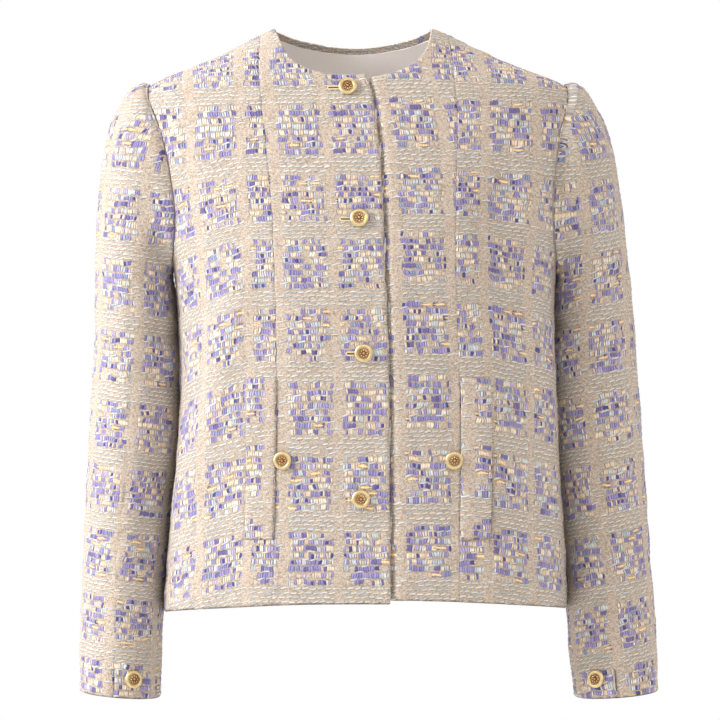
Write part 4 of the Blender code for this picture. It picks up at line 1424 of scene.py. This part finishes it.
@dataclass
class BodyPieces:
    """The fronts, the side fronts, the back and its lining, on the torso form."""

    form: TorsoForm
    check: Check
    tweed: Material
    lining: Material
    seam_half: float = 0.03
    ridge_gap: float = 0.08
    block_tops: tuple[float, ...] = (-8, -81, -151, -214, -281, -352, -424, -497)
    left_shift: float = 7.0
    centre_offset: Sided = by_side(-1.0, 37.5)
    side_offset: Sided = by_side(21.2, 19.7)
    row_tilt: Sided = by_side(0.24, 0.16)
    mouth_way: float = 30.4
    mouth_half: float = 1.7
    mouth_depth: Sided = by_side(1.0, 3.2)

    def on_cloth(self, across: Array, height: Array) -> Array:
        """The places across and along the cloth."""
        return np.stack([across, self.check.row_map(self.block_tops, height)], -1)

    def over_shoulder(self, across: Array, points: Array, start: Array, sign: int) -> Pair:
        """Lays the cloth straight over the shoulder, where the level rings turn away.

        Args:
            across: The way round the rings from a line.
            points: The piece's points, from the hem up by row.
            start: That line's x at each point's height.
            sign: Which way across grows along x.

        Returns:
            The way across, and how much further the cloth has come than it has risen.
        """
        step = np.diff(points, axis=0)
        further = np.hypot(step[..., 1], step[..., 2]) - step[..., 2]
        further = further * eased(points[1:, :, 2], -110, -70)
        further = np.concatenate([np.zeros((1, points.shape[1])), np.cumsum(further, 0)])
        straight = 1.05 * sign * (points[..., 0] - start)
        return across + (straight - across) * eased(points[..., 2], -100, -40), further

    def laid(self, turn: Array, height: Array, face: Face) -> Pair:
        """Lays a piece on the form, with its top row on the shoulder's ridge past the neck."""
        points, normals = self.form.place(turn, height)
        top = points[-1]
        off = np.abs(top[:, 0] - self.form.middle(top[:, 2]))
        ridge = -self.form.ring["side"].at(top[:, 2])
        ridge = ridge - self.ridge_gap if face is Face.FRONT else ridge + self.ridge_gap
        top[:, 1] = np.where(off > self.form.neck_width - 0.2, ridge, top[:, 1])
        return points, normals

    def dress(
        self,
        wall: ClothWall,
        place: Pair,
        cloth: Array,
        rolls: tuple[float, float, float, float],
        node: str,
        more: Array | float = 0.0,
    ) -> Object:
        """Finishes a tweed piece.

        Args:
            wall: The piece's wall.
            place: Its outer points and rough directions out of them.
            cloth: Its places on the cloth.
            rolls: How far its first and last columns and rows turn in.
            node: The solid that it stands for.
            more: More lift over the piece, for all its thickness.

        Returns:
            The piece.
        """
        points, normals = place
        points = points + normals * (np.zeros(points.shape[:2]) + more)[..., None]
        ways = edge_ways(points)
        lift = self.check.relief(cloth[..., 0], cloth[..., 1])
        lift = lift * smooth(np.minimum.reduce(ways) / 3.0)
        for way, drop in zip(ways, rolls):
            lift = lift + rolled(way, 2.2 + drop, drop)
        lift = lift + 0.3 * ripple(5, cloth[..., 0], cloth[..., 1], 34)
        normals = grid_normals(points, normals)
        finishes = [self.tweed, self.tweed if node == "back" else self.lining]
        # Painted shade along the hem's rolled edge.
        piece = wall.lay(points, normals, cloth, lift, finishes, hem_edge_shade(ways[2], cloth))
        sew(piece, node, points)
        return piece

    def centre_front(self, side: Side) -> Object:
        """A centre front, from the princess seam past the middle to the front edge."""
        form, right = self.form, side is Side.RIGHT
        wall = ClothWall(f"tweed_front_centre_{side.word}", 40, 160)
        share, up = wall.shares()
        share, up = inset(share, self.seam_half, 105), inset(up, self.seam_half, 540)
        fan_low, fan_high = form.front_fan["low"].at(share), form.front_fan["high"].at(share)

        def distance(height: Array) -> Array:
            """The columns' distance from the middle line."""
            fan = eased(height, form.fan_low, form.fan_high)
            out = form.line["princess"].at(height)
            across = fan_low + (fan_high - fan_low) * fan
            lap = form.line["lap"].at(height)
            # The lap's sewn edge is a little wavy.
            lap = lap + (form.lap_wave * ripple(21, 0 * height, height, 42) if right else 0.0)
            return out - across * (out + lap)

        drop = 0.0 if right else form.left_neck_drop
        top = form.neck_height(distance(np.full(up.shape, -20.0)), Face.FRONT, drop)
        for _ in range(3):
            top = form.neck_height(distance(top), Face.FRONT, drop)
        rise = 0.0 if right else form.left_hem_rise
        turn, height = form.line_place(side, Face.FRONT, distance, top, rise, up)
        points, normals = self.laid(turn, height, Face.FRONT)
        edge_turn = form.line_turn("lap", 1, height)
        edge = form.middle(height) + form.line["lap"].at(height)
        across = form.arc(edge_turn, turn, height) * (-1 if right else 1)
        if right:
            # The lap's edge stands off the front below it, a little more here than there.
            near = smooth(1 - across / 16)
            more = near * (0.9 + 0.5 * ripple(11, height * 0, height, 70))
        else:
            tuck = smooth((edge + form.lap_clear + form.lap_ease - points[..., 0]) / form.lap_ease)
            into = (points[..., 0] - edge - form.groove_off) / form.groove_half
            more = -form.lap_step * tuck - form.groove_depth * np.exp(-(into**2))
        shift = 0.0 if right else self.left_shift
        across, further = self.over_shoulder(across, points, edge, -1 if right else 1)
        across = across + self.centre_offset[side]
        across = self.check.mirrored(across) if right else across
        cloth = self.on_cloth(across, height - shift)
        cloth[..., 1] += further
        node = f"front_centre_{side.word}"
        return self.dress(wall, (points, normals), cloth, (0.5, 1.4, 1.95, 1.5), node, more)

    def side_front(self, side: Side) -> Object:
        """A side front, from the side seam and armhole to the princess seam."""
        form = self.form
        wall = ClothWall(f"tweed_front_side_{side.word}", 44, 160)
        share, up = wall.shares()
        share, up = inset(share, self.seam_half, 130), inset(up, self.seam_half, 560)
        edge_turn, edge_height = form.side_edge(side, Face.FRONT, up)
        line_turn, line_height = form.princess(side, up)
        turn = edge_turn + (line_turn - edge_turn) * share
        height = edge_height + (line_height - edge_height) * share
        seam_turn = form.line_turn("princess", side.value, height)
        across = form.arc(seam_turn, turn, height) * side.value
        points, normals = self.laid(turn, height, Face.FRONT)
        seam = form.middle(height) + side.value * form.line["princess"].at(height)
        across, further = self.over_shoulder(across, points, seam, side.value)
        # The rows sink towards the side seam, where the panel flares.
        tilt = self.row_tilt[side] * np.maximum(across - 30, 0)
        shift = 0.0 if side is Side.RIGHT else 0.7 * self.left_shift
        rows = height - shift + tilt * eased(height, -60, -220)
        # A seam runs on from the pocket's mouth to the hem, and gapes along the pocket.
        mouth = np.exp(-(((across - self.mouth_way) / self.mouth_half) ** 2))
        gape = eased(height, -400, -440) * eased(height, -520, -505)
        deep = self.mouth_depth[side] * (0.3 + 0.7 * gape) * eased(height, -310, -340)
        if side is Side.RIGHT:
            # High up, this panel's columns lean towards the neck.
            across = self.check.mirrored(across + 6 * eased(height, -150, -90))
            across = across - self.side_offset[side]
        else:
            across = across + self.side_offset[side]
        cloth, node = self.on_cloth(across, rows), f"front_side_{side.word}"
        cloth[..., 1] += further
        rolls = (0.6, 0.5, 1.95, 0.6)
        return self.dress(wall, (points, normals), cloth, rolls, node, -deep * mouth)

    def half_back(self, side: Side, share: Array, up: Array) -> Pair:
        """The turns and heights of half the back.

        Args:
            side: Which half.
            share: Shares of the way from the side seam to the centre back.
            up: Shares of the way up.

        Returns:
            The turns and the heights.
        """
        form, line_share = self.form, 7 / 12
        inner = np.clip((share - line_share) / (1 - line_share), 0, 1)
        fan_low, fan_high = form.back_fan["low"].at(inner), form.back_fan["high"].at(inner)

        def distance(height: Array) -> Array:
            """The columns' distance from the middle line."""
            fan = eased(height, form.fan_low, form.fan_high)
            out = form.line["princess"].at(0) - form.back_line_low
            line = form.back_line_low + out * eased(height, form.hem, 0)
            return line * (1 - fan_low - (fan_high - fan_low) * fan)

        top = form.neck_height(distance(np.zeros(up.shape)), Face.BACK)
        turn, height = form.line_place(side, Face.BACK, distance, top, 0.0, up)
        edge_turn, edge_height = form.side_edge(side, Face.BACK, up)
        outer = np.clip(share / line_share, 0, 1)
        turn = edge_turn + (turn - edge_turn) * outer
        return turn, edge_height + (height - edge_height) * outer

    def back_place(self, share: Array, up: Array) -> Pair:
        """The turns and heights of the whole back, from the wearer's left to the right."""
        left = self.half_back(Side.LEFT, np.clip(share * 2, 0, 1), up)
        right = self.half_back(Side.RIGHT, np.clip(2 - share * 2, 0, 1), up)
        return tuple(np.where(share <= 0.5, a, b) for a, b in zip(left, right))

    def back(self) -> Object:
        """The back, in one piece from side seam to side seam."""
        wall = ClothWall("tweed_back", 110, 130)
        share, up = wall.shares()
        share, up = inset(share, self.seam_half, 460), inset(up, self.seam_half, 570)
        turn, height = self.back_place(share, up)
        across = self.form.arc(np.full(turn.shape, 180.0), turn, height)
        points, normals = self.laid(turn, height, Face.BACK)
        across, further = self.over_shoulder(across, points, self.form.middle(height), -1)
        sink = 0.1 * np.maximum(np.abs(across) - 120, 0) * eased(height, -60, -220)
        cloth = self.on_cloth(across + 5 * self.check.width + 21.9, height + sink)
        cloth[..., 1] += further
        return self.dress(wall, (points, normals), cloth, (0.7, 0.7, 1.95, 0.8), "back")

    def back_lining(self) -> Object:
        """The back's lining, from below the neck's tweed edge to above the hem."""
        wall = ClothWall("satin_back_lining", 40, 46, thickness=1.0)
        share, up = wall.shares()
        turn, height = self.back_place(0.045 + share * 0.91, 0.06 + up * 0.931)
        points, normals = self.form.place(turn, height)
        cloth = self.on_cloth(self.form.arc(np.full(turn.shape, 180.0), turn, height), height)
        # A centre pleat of ease, and soft waves where the lining hangs free.
        pleat = 1.6 * np.exp(-((cloth[..., 0] / 5) ** 2))
        waves = 0.5 * ripple(3, cloth[..., 0], cloth[..., 1], 60)
        sink = np.maximum(pleat + waves, 0) * smooth(np.minimum.reduce(edge_ways(points)) / 12)
        points = points - normals * (3.2 + sink)[..., None]
        normals = grid_normals(points, normals)
        piece = wall.lay(points, normals, cloth, 0 * sink, [self.lining, self.lining])
        sew(piece, "lining_back", points)
        return piece

    def build(self) -> None:
        """Builds every body piece."""
        for side in Side:
            self.centre_front(side)
            self.side_front(side)
        self.back()
        self.back_lining()


@dataclass
class Sleeves:
    """The two set-in sleeves, with eased heads, creases at the elbow and vented cuffs."""

    form: SleeveForm
    check: Check
    tweed: Material
    lining: Material
    vent_angle: Sided = by_side(math.acos(0.0728), math.acos(-0.088))
    vent_share: float = 0.092
    vent_gap: float = 1.3
    vent_step: float = 2.4
    # How strong the painted shade in each vent's slit is.
    vent_slit_shade: Sided = by_side(0.35, 1.0)
    length: float = 620.0
    block_tops: dict[Side, tuple[float, ...]] = by_side(
        right=(-20, -91, -163, -233, -304, -373.5, -437.7, -501, -566, -629),
        left=(-18, -88, -157, -226, -295.4, -364.6, -433.8, -503, -572, -635),
    )
    check_offset: Sided = by_side(3.0, 55.2)
    row_slope: Sided = by_side(0.11, 0.16)
    # Each crease: its lift, its spread along the sleeve, its share down, its angle, its
    # reach round the sleeve and how much it slants.
    creases: dict[Side, Rows] = by_side(
        right=(
            (-2.2, 10, 0.52, 2.7, 0.55, 0.10),
            (1.8, 9, 0.56, 2.8, 0.6, 0.14),
            (-1.8, 9, 0.60, 2.75, 0.5, 0.16),
            (-1.4, 10, 0.45, 2.9, 0.5, -0.08),
            (1.5, 13, 0.66, 2.2, 0.7, -0.2),
            (-1.4, 12, 0.71, 2.5, 0.6, 0.2),
        ),
        left=(
            (-2.2, 10, 0.50, 2.75, 0.6, 0.12),
            (2.0, 10, 0.545, 2.7, 0.6, 0.16),
            (-1.8, 9, 0.585, 2.8, 0.55, 0.12),
            (-1.5, 11, 0.43, 2.95, 0.5, -0.1),
            (1.4, 13, 0.65, 2.3, 0.7, -0.18),
            (-1.3, 12, 0.72, 2.6, 0.6, 0.16),
        ),
    )

    def crease_lift(self, side: Side, down: Array, angle: Array) -> Array:
        """How far the creases and the eased head bring the cloth out."""
        lift = np.zeros(down.shape)
        for rise, spread, share, middle, reach, slant in self.creases[side]:
            # Each crease runs on, shallower, behind the elbow.
            for on, part in ((middle, 1.0), (middle + 1.3, 0.8)):
                turn = (angle - on + math.pi) % (2 * math.pi) - math.pi
                off = (down - share) * self.length - slant * turn * 60
                ridge = part * rise * np.exp(-((off / spread) ** 2))
                lift += ridge * np.exp(-((turn / reach) ** 2))
        # Long soft valleys run down the arm.
        lift += 1.3 * np.sin(angle * 2 + 3.5 * down) * np.exp(-(((down - 0.35) / 0.2) ** 2))
        lift += 1.0 * np.sin(angle * 3 - 5 * down + 1) * np.exp(-(((down - 0.8) / 0.18) ** 2))
        # The head is eased into the armhole in slight puckers over a soft roll.
        upper = np.clip(np.cos(angle) + 0.35, 0, 1)
        pucker = 0.45 * np.sin(angle * 17 + 1.2 * np.sin(angle * 5)) * upper
        lift += pucker * np.exp(-(((down * self.length - 9) / 8) ** 2))
        return lift + np.exp(-(((down * self.length - 7) / 6) ** 2)) * upper

    def sleeve(self, side: Side) -> None:
        """One sleeve, sewn along its front above the vent."""
        wall = ClothWall(f"tweed_sleeve_{side.word}", 96, 168, 2.2, True, self.vent_share)
        share, up = wall.shares()
        angle, down = self.vent_angle[side] + 2 * math.pi * share, 1 - up
        points = self.form.place(side, down, angle)
        points[..., 0] -= side.value * 0.3 * smooth(1 - down * 60)
        out = points - points.mean(axis=1, keepdims=True)
        out[..., 2] = 0
        normals = self.tube_normals(points, out)
        points = points + normals * self.crease_lift(side, down, angle)[..., None]
        normals = self.tube_normals(points, out)
        ways = edge_ways(points)
        height = points[..., 2]
        # The check turns a little round the arm on its way up.
        if side is Side.RIGHT:
            lean = -0.05 * np.clip(height + 640, 0, 460)
        else:
            lean = -9 * np.clip((height + 660) / 190, 0, 2) + 8 * eased(height, -350, -190)
        across = self.form.arc(side, points, angle, self.vent_angle[side])
        across = self.form.over_head(points, angle, across)
        # The rows slope over each sleeve's front.
        near = np.where(share > 0.5, across - across[:, -1:], across)
        slope = self.row_slope[side] * np.clip(near, -45, 45)
        over = 9 * np.clip((height + 131) / 76, 0, 1) ** 3
        along = self.check.row_map(self.block_tops[side], height + slope + over)
        across = across + self.check_offset[side] + lean + 4 * self.check.width
        across = across if side is Side.RIGHT else self.check.mirrored(across)
        cloth = np.stack([across, along], -1)
        lift = self.check.relief(across, along) * smooth(np.minimum.reduce(ways) / 3)
        lift = lift + rolled(ways[2], 3.4, 1.7) + rolled(ways[3], 3.0, 1.2)
        lift = lift + 0.4 * ripple(8, across, along, 40) * smooth(down * 10)
        lift[:, -1] = lift[:, 0]
        # Painted shade in the vent's slit and along the cuff's rolled edge.
        edge_shade = self.open_vent(ways, up, points, normals, lift) * self.vent_slit_shade[side]
        edge_shade = np.maximum(edge_shade, hem_edge_shade(ways[2], cloth))
        finishes = [self.tweed, self.lining]
        piece = wall.lay(points, normals, cloth, lift, finishes, edge_shade)
        sew(piece, f"sleeve_{side.word}", points)

    def open_vent(
        self, ways: tuple[Array, ...], up: Array, points: Array, normals: Array, lift: Array
    ) -> Array:
        """Parts the two edges of the vent and laps the button's side over the other.

        Args:
            ways: How far each point is from the sleeve's edges.
            up: Its share of the way up the sleeve.
            points: The points, which are moved.
            normals: The directions out of them.
            lift: The outer layer's lift, which is changed.

        Returns:
            How far each point lies in painted shade along the slit's lowered edge.
        """
        slit = smooth((self.vent_share - 0.003 - up) / 0.004)
        # By the hem the two sides lie one over the other, so the slit closes.
        parted = slit * (1 - 1.4 * smooth(1.6 - ways[2] / 7))
        for column, beside in ((0, 1), (-1, -2)):
            step = unit(points[:, beside] - points[:, column])
            points[:, column] += step * (parted[:, column] * self.vent_gap / 2)[:, None]
        for near, stand in ((ways[0], 1.0), (ways[1], -0.9)):
            bent = smooth(1 - near / 9) * slit * self.vent_step * stand
            points += normals * bent[..., None]
            lift += rolled(near, 2.2, 0.9) * slit
        # Painted shade on the lowered side's edge in the slit, clear of the hem.
        return slit * eased(ways[1], 2.4, 1.2) * eased(ways[2], 6, 9)

    @staticmethod
    def tube_normals(points: Array, out: Array) -> Array:
        """Directions out of a tube's points, even over its sewn edge."""
        wide = np.concatenate([points[:, -2:-1], points, points[:, 1:2]], 1)
        normals = grid_normals(wide)[:, 1:-1]
        return normals * np.sign((normals * out).sum(-1).mean())

    def build(self) -> None:
        """Builds both sleeves."""
        for side in Side:
            self.sleeve(side)


@dataclass
class Welts:
    """The two pocket welts: raised strips with the check out of step with the front's."""

    form: TorsoForm
    check: Check
    tweed: Material
    top: float = -348.5
    bottom: float = -505.0
    width: float = 29.0
    stand: float = 2.75
    mouth_gape: Sided = by_side(0.8, 1.8)
    check_offset: Sided = by_side(42.7, 40.7)
    check_top: float = -463.0
    rolls: Rows = ((6.0, 1.85), (2.6, 1.5), (3.6, 1.8), (3.6, 1.8))

    def welt(self, side: Side) -> None:
        """One welt, sewn in at the princess seam."""
        wall = ClothWall(f"tweed_welt_{side.word}", 11, 56, thickness=2.0)
        share, up = wall.shares()
        height = self.bottom + (self.top - self.bottom) * up
        seam = self.form.line["princess"].at(height) + 0.3
        seam = self.form.middle(height) + side.value * seam
        x = seam + side.value * (self.width - 0.6) * share
        points, normals = self.form.place(self.form.turn_at(x, height, Face.FRONT), height)
        # The mouth, on the side away from the seam, gapes a little.
        gape = self.mouth_gape[side] * smooth(share) * np.sin(math.pi * up) ** 0.7
        points = points + normals * (self.stand + gape)[..., None]
        across = share * self.width + self.check_offset[side]
        across = across if side is Side.LEFT else self.check.mirrored(across)
        along = height - self.check_top + 0.06 * share * self.width + self.check.length
        ways = edge_ways(points)
        lift = self.check.relief(across, along) * smooth(np.minimum.reduce(ways) / 3)
        # It lies nearly flush at the seam, and its mouth is a firm folded edge.
        for way, (reach, drop) in zip(ways, self.rolls):
            lift = lift + rolled(way, reach, drop)
        normals = grid_normals(points, normals)
        cloth = np.stack([across, along], -1)
        piece = wall.lay(points, normals, cloth, lift, [self.tweed, self.tweed])
        sew(piece, f"welt_{side.word}", points)

    def build(self) -> None:
        """Builds both welts."""
        for side in Side:
            self.welt(side)


@dataclass
class Buttons:
    """Turned metal buttons with a rolled rim and a pierced rosette of eight petals."""

    torso: TorsoForm
    sleeves: SleeveForm
    finishes: tuple[Material, Material, Material]
    radius: float = 9.0
    petals: int = 8
    shank: tuple[float, float] = (2.4, 2.8)
    front_stand: float = 2.4
    welt_stand: float = 3.0
    cuff_stand: float = 2.1
    front: Rows = ((-9.8, -64.7), (-4.5, -194.0), (-3.6, -324.3), (-6.5, -465.3))
    pocket_inset: float = 6.8
    pocket_height: float = -428.2
    cuff_height: float = -646.0
    cuff_x: Sided = by_side(-216.8, 241.7)
    # The turned steps from the back's edge to the rosette's ground: how far in and up.
    steps: Rows = (
        (-0.63, 0.35),
        (0.0, 0.35),
        (0.35, 0.75),
        (0.55, 0.55),
        (0.75, 0.25),
        (0.75, 0.0),
        (0.6, -0.2),
        (0.35, -0.4),
        (0.25, -0.45),
        (0.4, 0.0),
        (2.4, 0.7),
        (1.6, 0.1),
    )

    def disc(self, build: Build) -> None:
        """Turns the button's body: a back and a rim round a shallow well."""
        back = self.radius * 0.93
        made = bmesh.ops.create_circle(build, cap_ends=True, segments=48, radius=back)
        face = made["verts"][0].link_faces[0]
        face.normal_update()
        if face.normal.z < 0:
            face.normal_flip()
        for step_in, rise in self.steps:
            even = {"use_boundary": True, "use_even_offset": True}
            bmesh.ops.inset_region(build, faces=[face], thickness=step_in, depth=rise, **even)
        open_edge = [edge for edge in build.edges if edge.is_boundary]
        bmesh.ops.holes_fill(build, edges=open_edge, sides=0)

    def rosette(self, build: Build) -> None:
        """Eight wire petals round a ring, with a bead between each two."""
        turn = 2 * math.pi / self.petals
        for number in range(self.petals):
            petal = Matrix.Rotation(turn * number, 4, "Z") @ Matrix.Translation((3.35, 0, 2.0))
            self.wire_ring(build, 1.0, 0.27, petal @ Matrix.Diagonal((1.45, 1, 1, 1)))
            between = Matrix.Rotation(turn * (number + 0.5), 4, "Z")
            self.ball(build, 0.42, between @ Vector((4.7, 0, 1.95)))
        self.wire_ring(build, 1.55, 0.3, Matrix.Translation((0, 0, 2.25)))

    def middle_bead(self, build: Build) -> None:
        """The pale bead in the rosette's middle."""
        self.ball(build, 1.05, Vector((0, 0, 2.35)))

    @staticmethod
    def wire_ring(build: Build, radius: float, thick: float, place: Matrix) -> None:
        """A ring of round wire, spun from its section."""
        part = bmesh.new()
        stand = Matrix.Translation((radius, 0, 0)) @ Matrix.Rotation(math.pi / 2, 4, "X")
        bmesh.ops.create_circle(part, segments=6, radius=thick, matrix=stand)
        geom = part.verts[:] + part.edges[:]
        bmesh.ops.spin(part, geom=geom, axis=(0, 0, 1), steps=14, angle=2 * math.pi, use_merge=True)
        bmesh.ops.transform(part, matrix=place, verts=part.verts[:])
        join(build, part)

    @staticmethod
    def ball(build: Build, radius: float, middle: Vector) -> None:
        """A small bead."""
        place = Matrix.Translation(middle)
        bmesh.ops.create_icosphere(build, subdivisions=2, radius=radius, matrix=place)

    def button(self, node: str, point: Array, normal: Array, stand: float) -> None:
        """One button, seated over the cloth.

        Args:
            node: The solid that it stands for.
            point: Where it is sewn on.
            normal: The direction that it faces.
            stand: How far its back stands off the cloth.
        """
        whole = bmesh.new()
        for index, make in enumerate((self.disc, self.rosette, self.middle_bead)):
            part = bmesh.new()
            make(part)
            bmesh.ops.recalc_face_normals(part, faces=part.faces[:])
            for face in part.faces:
                face.material_index = index
            join(whole, part)
        low = Matrix.Translation((0, 0, -stand / 2 + 0.05))
        shank = {"radius1": self.shank[0], "radius2": self.shank[1], "depth": stand - 0.1}
        bmesh.ops.create_cone(whole, cap_ends=True, segments=20, matrix=low, **shank)
        facing = Vector(normal).normalized()
        place = Matrix.Translation((Vector(point) + facing * stand) * MM)
        place = place @ facing.to_track_quat("Z", "Y").to_matrix().to_4x4() @ Matrix.Scale(MM, 4)
        bmesh.ops.transform(whole, matrix=place, verts=whole.verts[:])
        sew(finished(ended(whole, "gold_" + node, *self.finishes), 40), node)

    def on_cuff(self, side: Side) -> Pair:
        """Where a cuff's button is sewn on, and the direction that it faces."""
        downs, angles = np.linspace(0.85, 1, 60), np.linspace(0.3, 2.8, 60)
        down, angle = np.meshgrid(downs, angles, indexing="ij")
        points = self.sleeves.place(side, down, angle)
        off = np.hypot(points[..., 0] - self.cuff_x[side], points[..., 2] - self.cuff_height)
        row, column = np.unravel_index(np.argmin(off), off.shape)
        normal = grid_normals(points)[row, column]
        return points[row, column], normal * -np.sign(normal[1])

    def build(self) -> None:
        """Builds all eight buttons."""
        for number, place in enumerate(self.front, 1):
            self.button(f"button_front_{number}", *self.torso.on_front(*place), self.front_stand)
        for side in Side:
            out = float(self.torso.line["princess"].at(self.pocket_height)) - self.pocket_inset
            place = self.torso.on_front(side.value * out, self.pocket_height)
            self.button(f"button_pocket_{side.word}", *place, self.welt_stand)
            self.button(f"button_cuff_{side.word}", *self.on_cuff(side), self.cuff_stand)


def join(build: Build, part: Build) -> None:
    """Adds a part to a mesh being built and frees the part."""
    held = ended(part, "part")
    build.from_mesh(held)
    bpy.data.meshes.remove(held)


@dataclass
class Stitching:
    """The front's stitched buttonholes."""

    torso: TorsoForm
    thread: Material
    slit: Material
    length: float = 21.0
    half_width: float = 1.5
    wraps: int = 22
    side_wrap: Point = (0.55, 1.1, 0.5)
    end_wrap: Point = (0.9, 0.6, 0.5)
    stand: float = 0.75
    # Each buttonhole: how far its middle stands from the ring's middle, and its height.
    holes: Rows = ((-19.5, -65.4), (-13.0, -195.0), (-10.6, -325.0))

    def hole(self, number: int, offset: float, height: float) -> None:
        """One buttonhole: a dark slit in a rim of close thread wraps.

        Args:
            number: Its number, from the top.
            offset: How far its middle stands from the ring's middle.
            height: Its height.
        """
        build = bmesh.new()
        bar = self.length / 2 - self.half_width
        sides = [
            ((-bar + 2 * bar * wrap / (self.wraps - 1), sign * self.half_width, 0), self.side_wrap)
            for wrap in range(self.wraps)
            for sign in (-1, 1)
        ]
        ends = [
            ((end * (bar + 0.9 - 0.3 * abs(step)), step * 1.0, 0), self.end_wrap)
            for end in (-1, 1)
            for step in (-1, 0, 1)
        ]
        for spot, size in sides + ends:
            place = Matrix.Translation(spot) @ Matrix.Diagonal((*size, 1.0))
            bmesh.ops.create_icosphere(build, subdivisions=1, radius=1.0, matrix=place)
        stitched = len(build.faces)
        # A dark box fills the slit: painted shade inside the cut.
        flat = Matrix.Translation((0, 0, -0.1)) @ Matrix.Diagonal((self.length - 2, 1.6, 0.5, 1.0))
        bmesh.ops.create_cube(build, size=1.0, matrix=flat)
        build.faces.ensure_lookup_table()
        for face in build.faces[stitched:]:
            face.material_index = 1
        point, facing = (Vector(part) for part in self.torso.on_front(offset, height))
        level = Vector((1, 0, 0))
        level = (level - facing * level.dot(facing)).normalized()
        turn = Matrix((level, facing.cross(level), facing)).transposed().to_4x4()
        place = Matrix.Translation((point + facing * self.stand) * MM) @ turn @ Matrix.Scale(MM, 4)
        bmesh.ops.transform(build, matrix=place, verts=build.verts[:])
        mesh = ended(build, f"buttonhole_{number}", self.thread, self.slit)
        sew(finished(mesh), None)

    def build(self) -> None:
        """Builds the buttonholes that show."""
        for number, place in enumerate(self.holes, 1):
            self.hole(number, *place)


@dataclass
class Studio:
    """A pale floor, soft lights and the camera."""

    floor_height: float = -1.15
    floor_size: float = 5.0
    floor_colour: str = "#E2E2E2"
    camera: Point = (0.0075, -3.5, -0.331)
    lens: float = 175.0
    sensor: float = 36.0
    # Each light's name, place in metres, size and power in watts.
    lights: tuple[tuple[str, Point, float, float], ...] = (
        ("key", (-2.45, -1.0, 0.95), 1.0, 97),
        ("right side", (-2.6, -0.1, 0.3), 1.6, 26),
        ("left side", (2.6, -0.1, 0.4), 1.6, 17),
        ("fill", (0.9, -3.2, 0.9), 2.4, 29),
        ("back", (0.5, 2.3, 2.6), 2.4, 34),
    )
    aim: Point = (0.0, 0.0, -0.33)
    room_seen: str = "#FFFFFF"
    room_light: str = "#FFF3E6"
    # The heights, as directions, between which the room's light grows, and from what to what.
    room_rise: tuple[float, ...] = (-0.5, 0.6, 0.24, 0.92)

    def build(self) -> None:
        """Builds the studio."""
        build = bmesh.new()
        bmesh.ops.create_grid(build, x_segments=1, y_segments=1, size=self.floor_size / 2)
        bmesh.ops.translate(build, verts=build.verts[:], vec=(0, 0, self.floor_height))
        paper = Plain("matte studio paper", self.floor_colour, 1.0).material()
        floor = put(ended(build, "studio_floor", paper))
        for row in self.lights:
            self.light(*row)
        self.room()
        lens = bpy.data.cameras.new("camera")
        lens.lens, lens.sensor_width = self.lens, self.sensor
        lens.clip_start, lens.clip_end = 0.05, 100.0
        camera = put(lens)
        camera.location = self.camera
        camera.rotation_euler = (math.pi / 2, 0, 0)
        scene = bpy.context.scene
        scene.camera = camera
        scene.view_settings.view_transform = "Standard"

    def room(self) -> None:
        """A white room that shows at full strength but lights softly, more from above."""
        world = bpy.data.worlds.new("soft white room")
        add = Recipe(world).add
        height = add("SeparateXYZ", add("TexCoord"), out=2)
        lit = add("Background", linear(self.room_light), add("MapRange", height, *self.room_rise))
        seen = add("Background", linear(self.room_seen))
        add("OutputWorld", add("MixShader", add("LightPath"), lit, seen))
        bpy.context.scene.world = world

    def light(self, name: str, place: Point, size: float, power: float) -> None:
        """A soft square light that faces the jacket's middle.

        Args:
            name: Its name.
            place: Where it stands.
            size: Its side.
            power: Its power in watts.
        """
        lamp = bpy.data.lights.new(name, "AREA")
        lamp.size, lamp.energy = size, power
        holder = put(lamp)
        holder.location = place
        aim = Vector(self.aim) - Vector(place)
        holder.rotation_euler = aim.to_track_quat("-Z", "Y").to_euler()


def main() -> None:
    """Builds the jacket and its studio, in order."""
    logging.basicConfig(level=logging.INFO, format="%(name)s: %(message)s")
    check = Check()
    torso = TorsoForm()
    sleeves = SleeveForm(torso)
    tweed = Tweed(check).material()
    lining = Satin().material()
    # Lacquered pale gold keeps a warm, soft shine; the rosette is browned copper.
    finishes = (
        Metal("lacquered pale gold", "#E2D0A6", "#D0BA88", 0.42).material(),
        Metal("antiqued copper", "#8F5538", "#4E2A1B", 0.45).material(),
        Metal("polished brass", "#E3C08C", "#C99A62", 0.3).material(),
    )
    thread = Plain("twisted silk thread", "#DCCBA6", 0.6).material()
    slit = Plain("shadowed slit lining", "#4A4038", 0.9).material()
    BodyPieces(torso, check, tweed, lining).build()
    Sleeves(sleeves, check, tweed, lining).build()
    Welts(torso, check, tweed).build()
    Buttons(torso, sleeves, finishes).build()
    Stitching(torso, thread, slit).build()
    Studio().build()


if __name__ == "__main__":
    main()
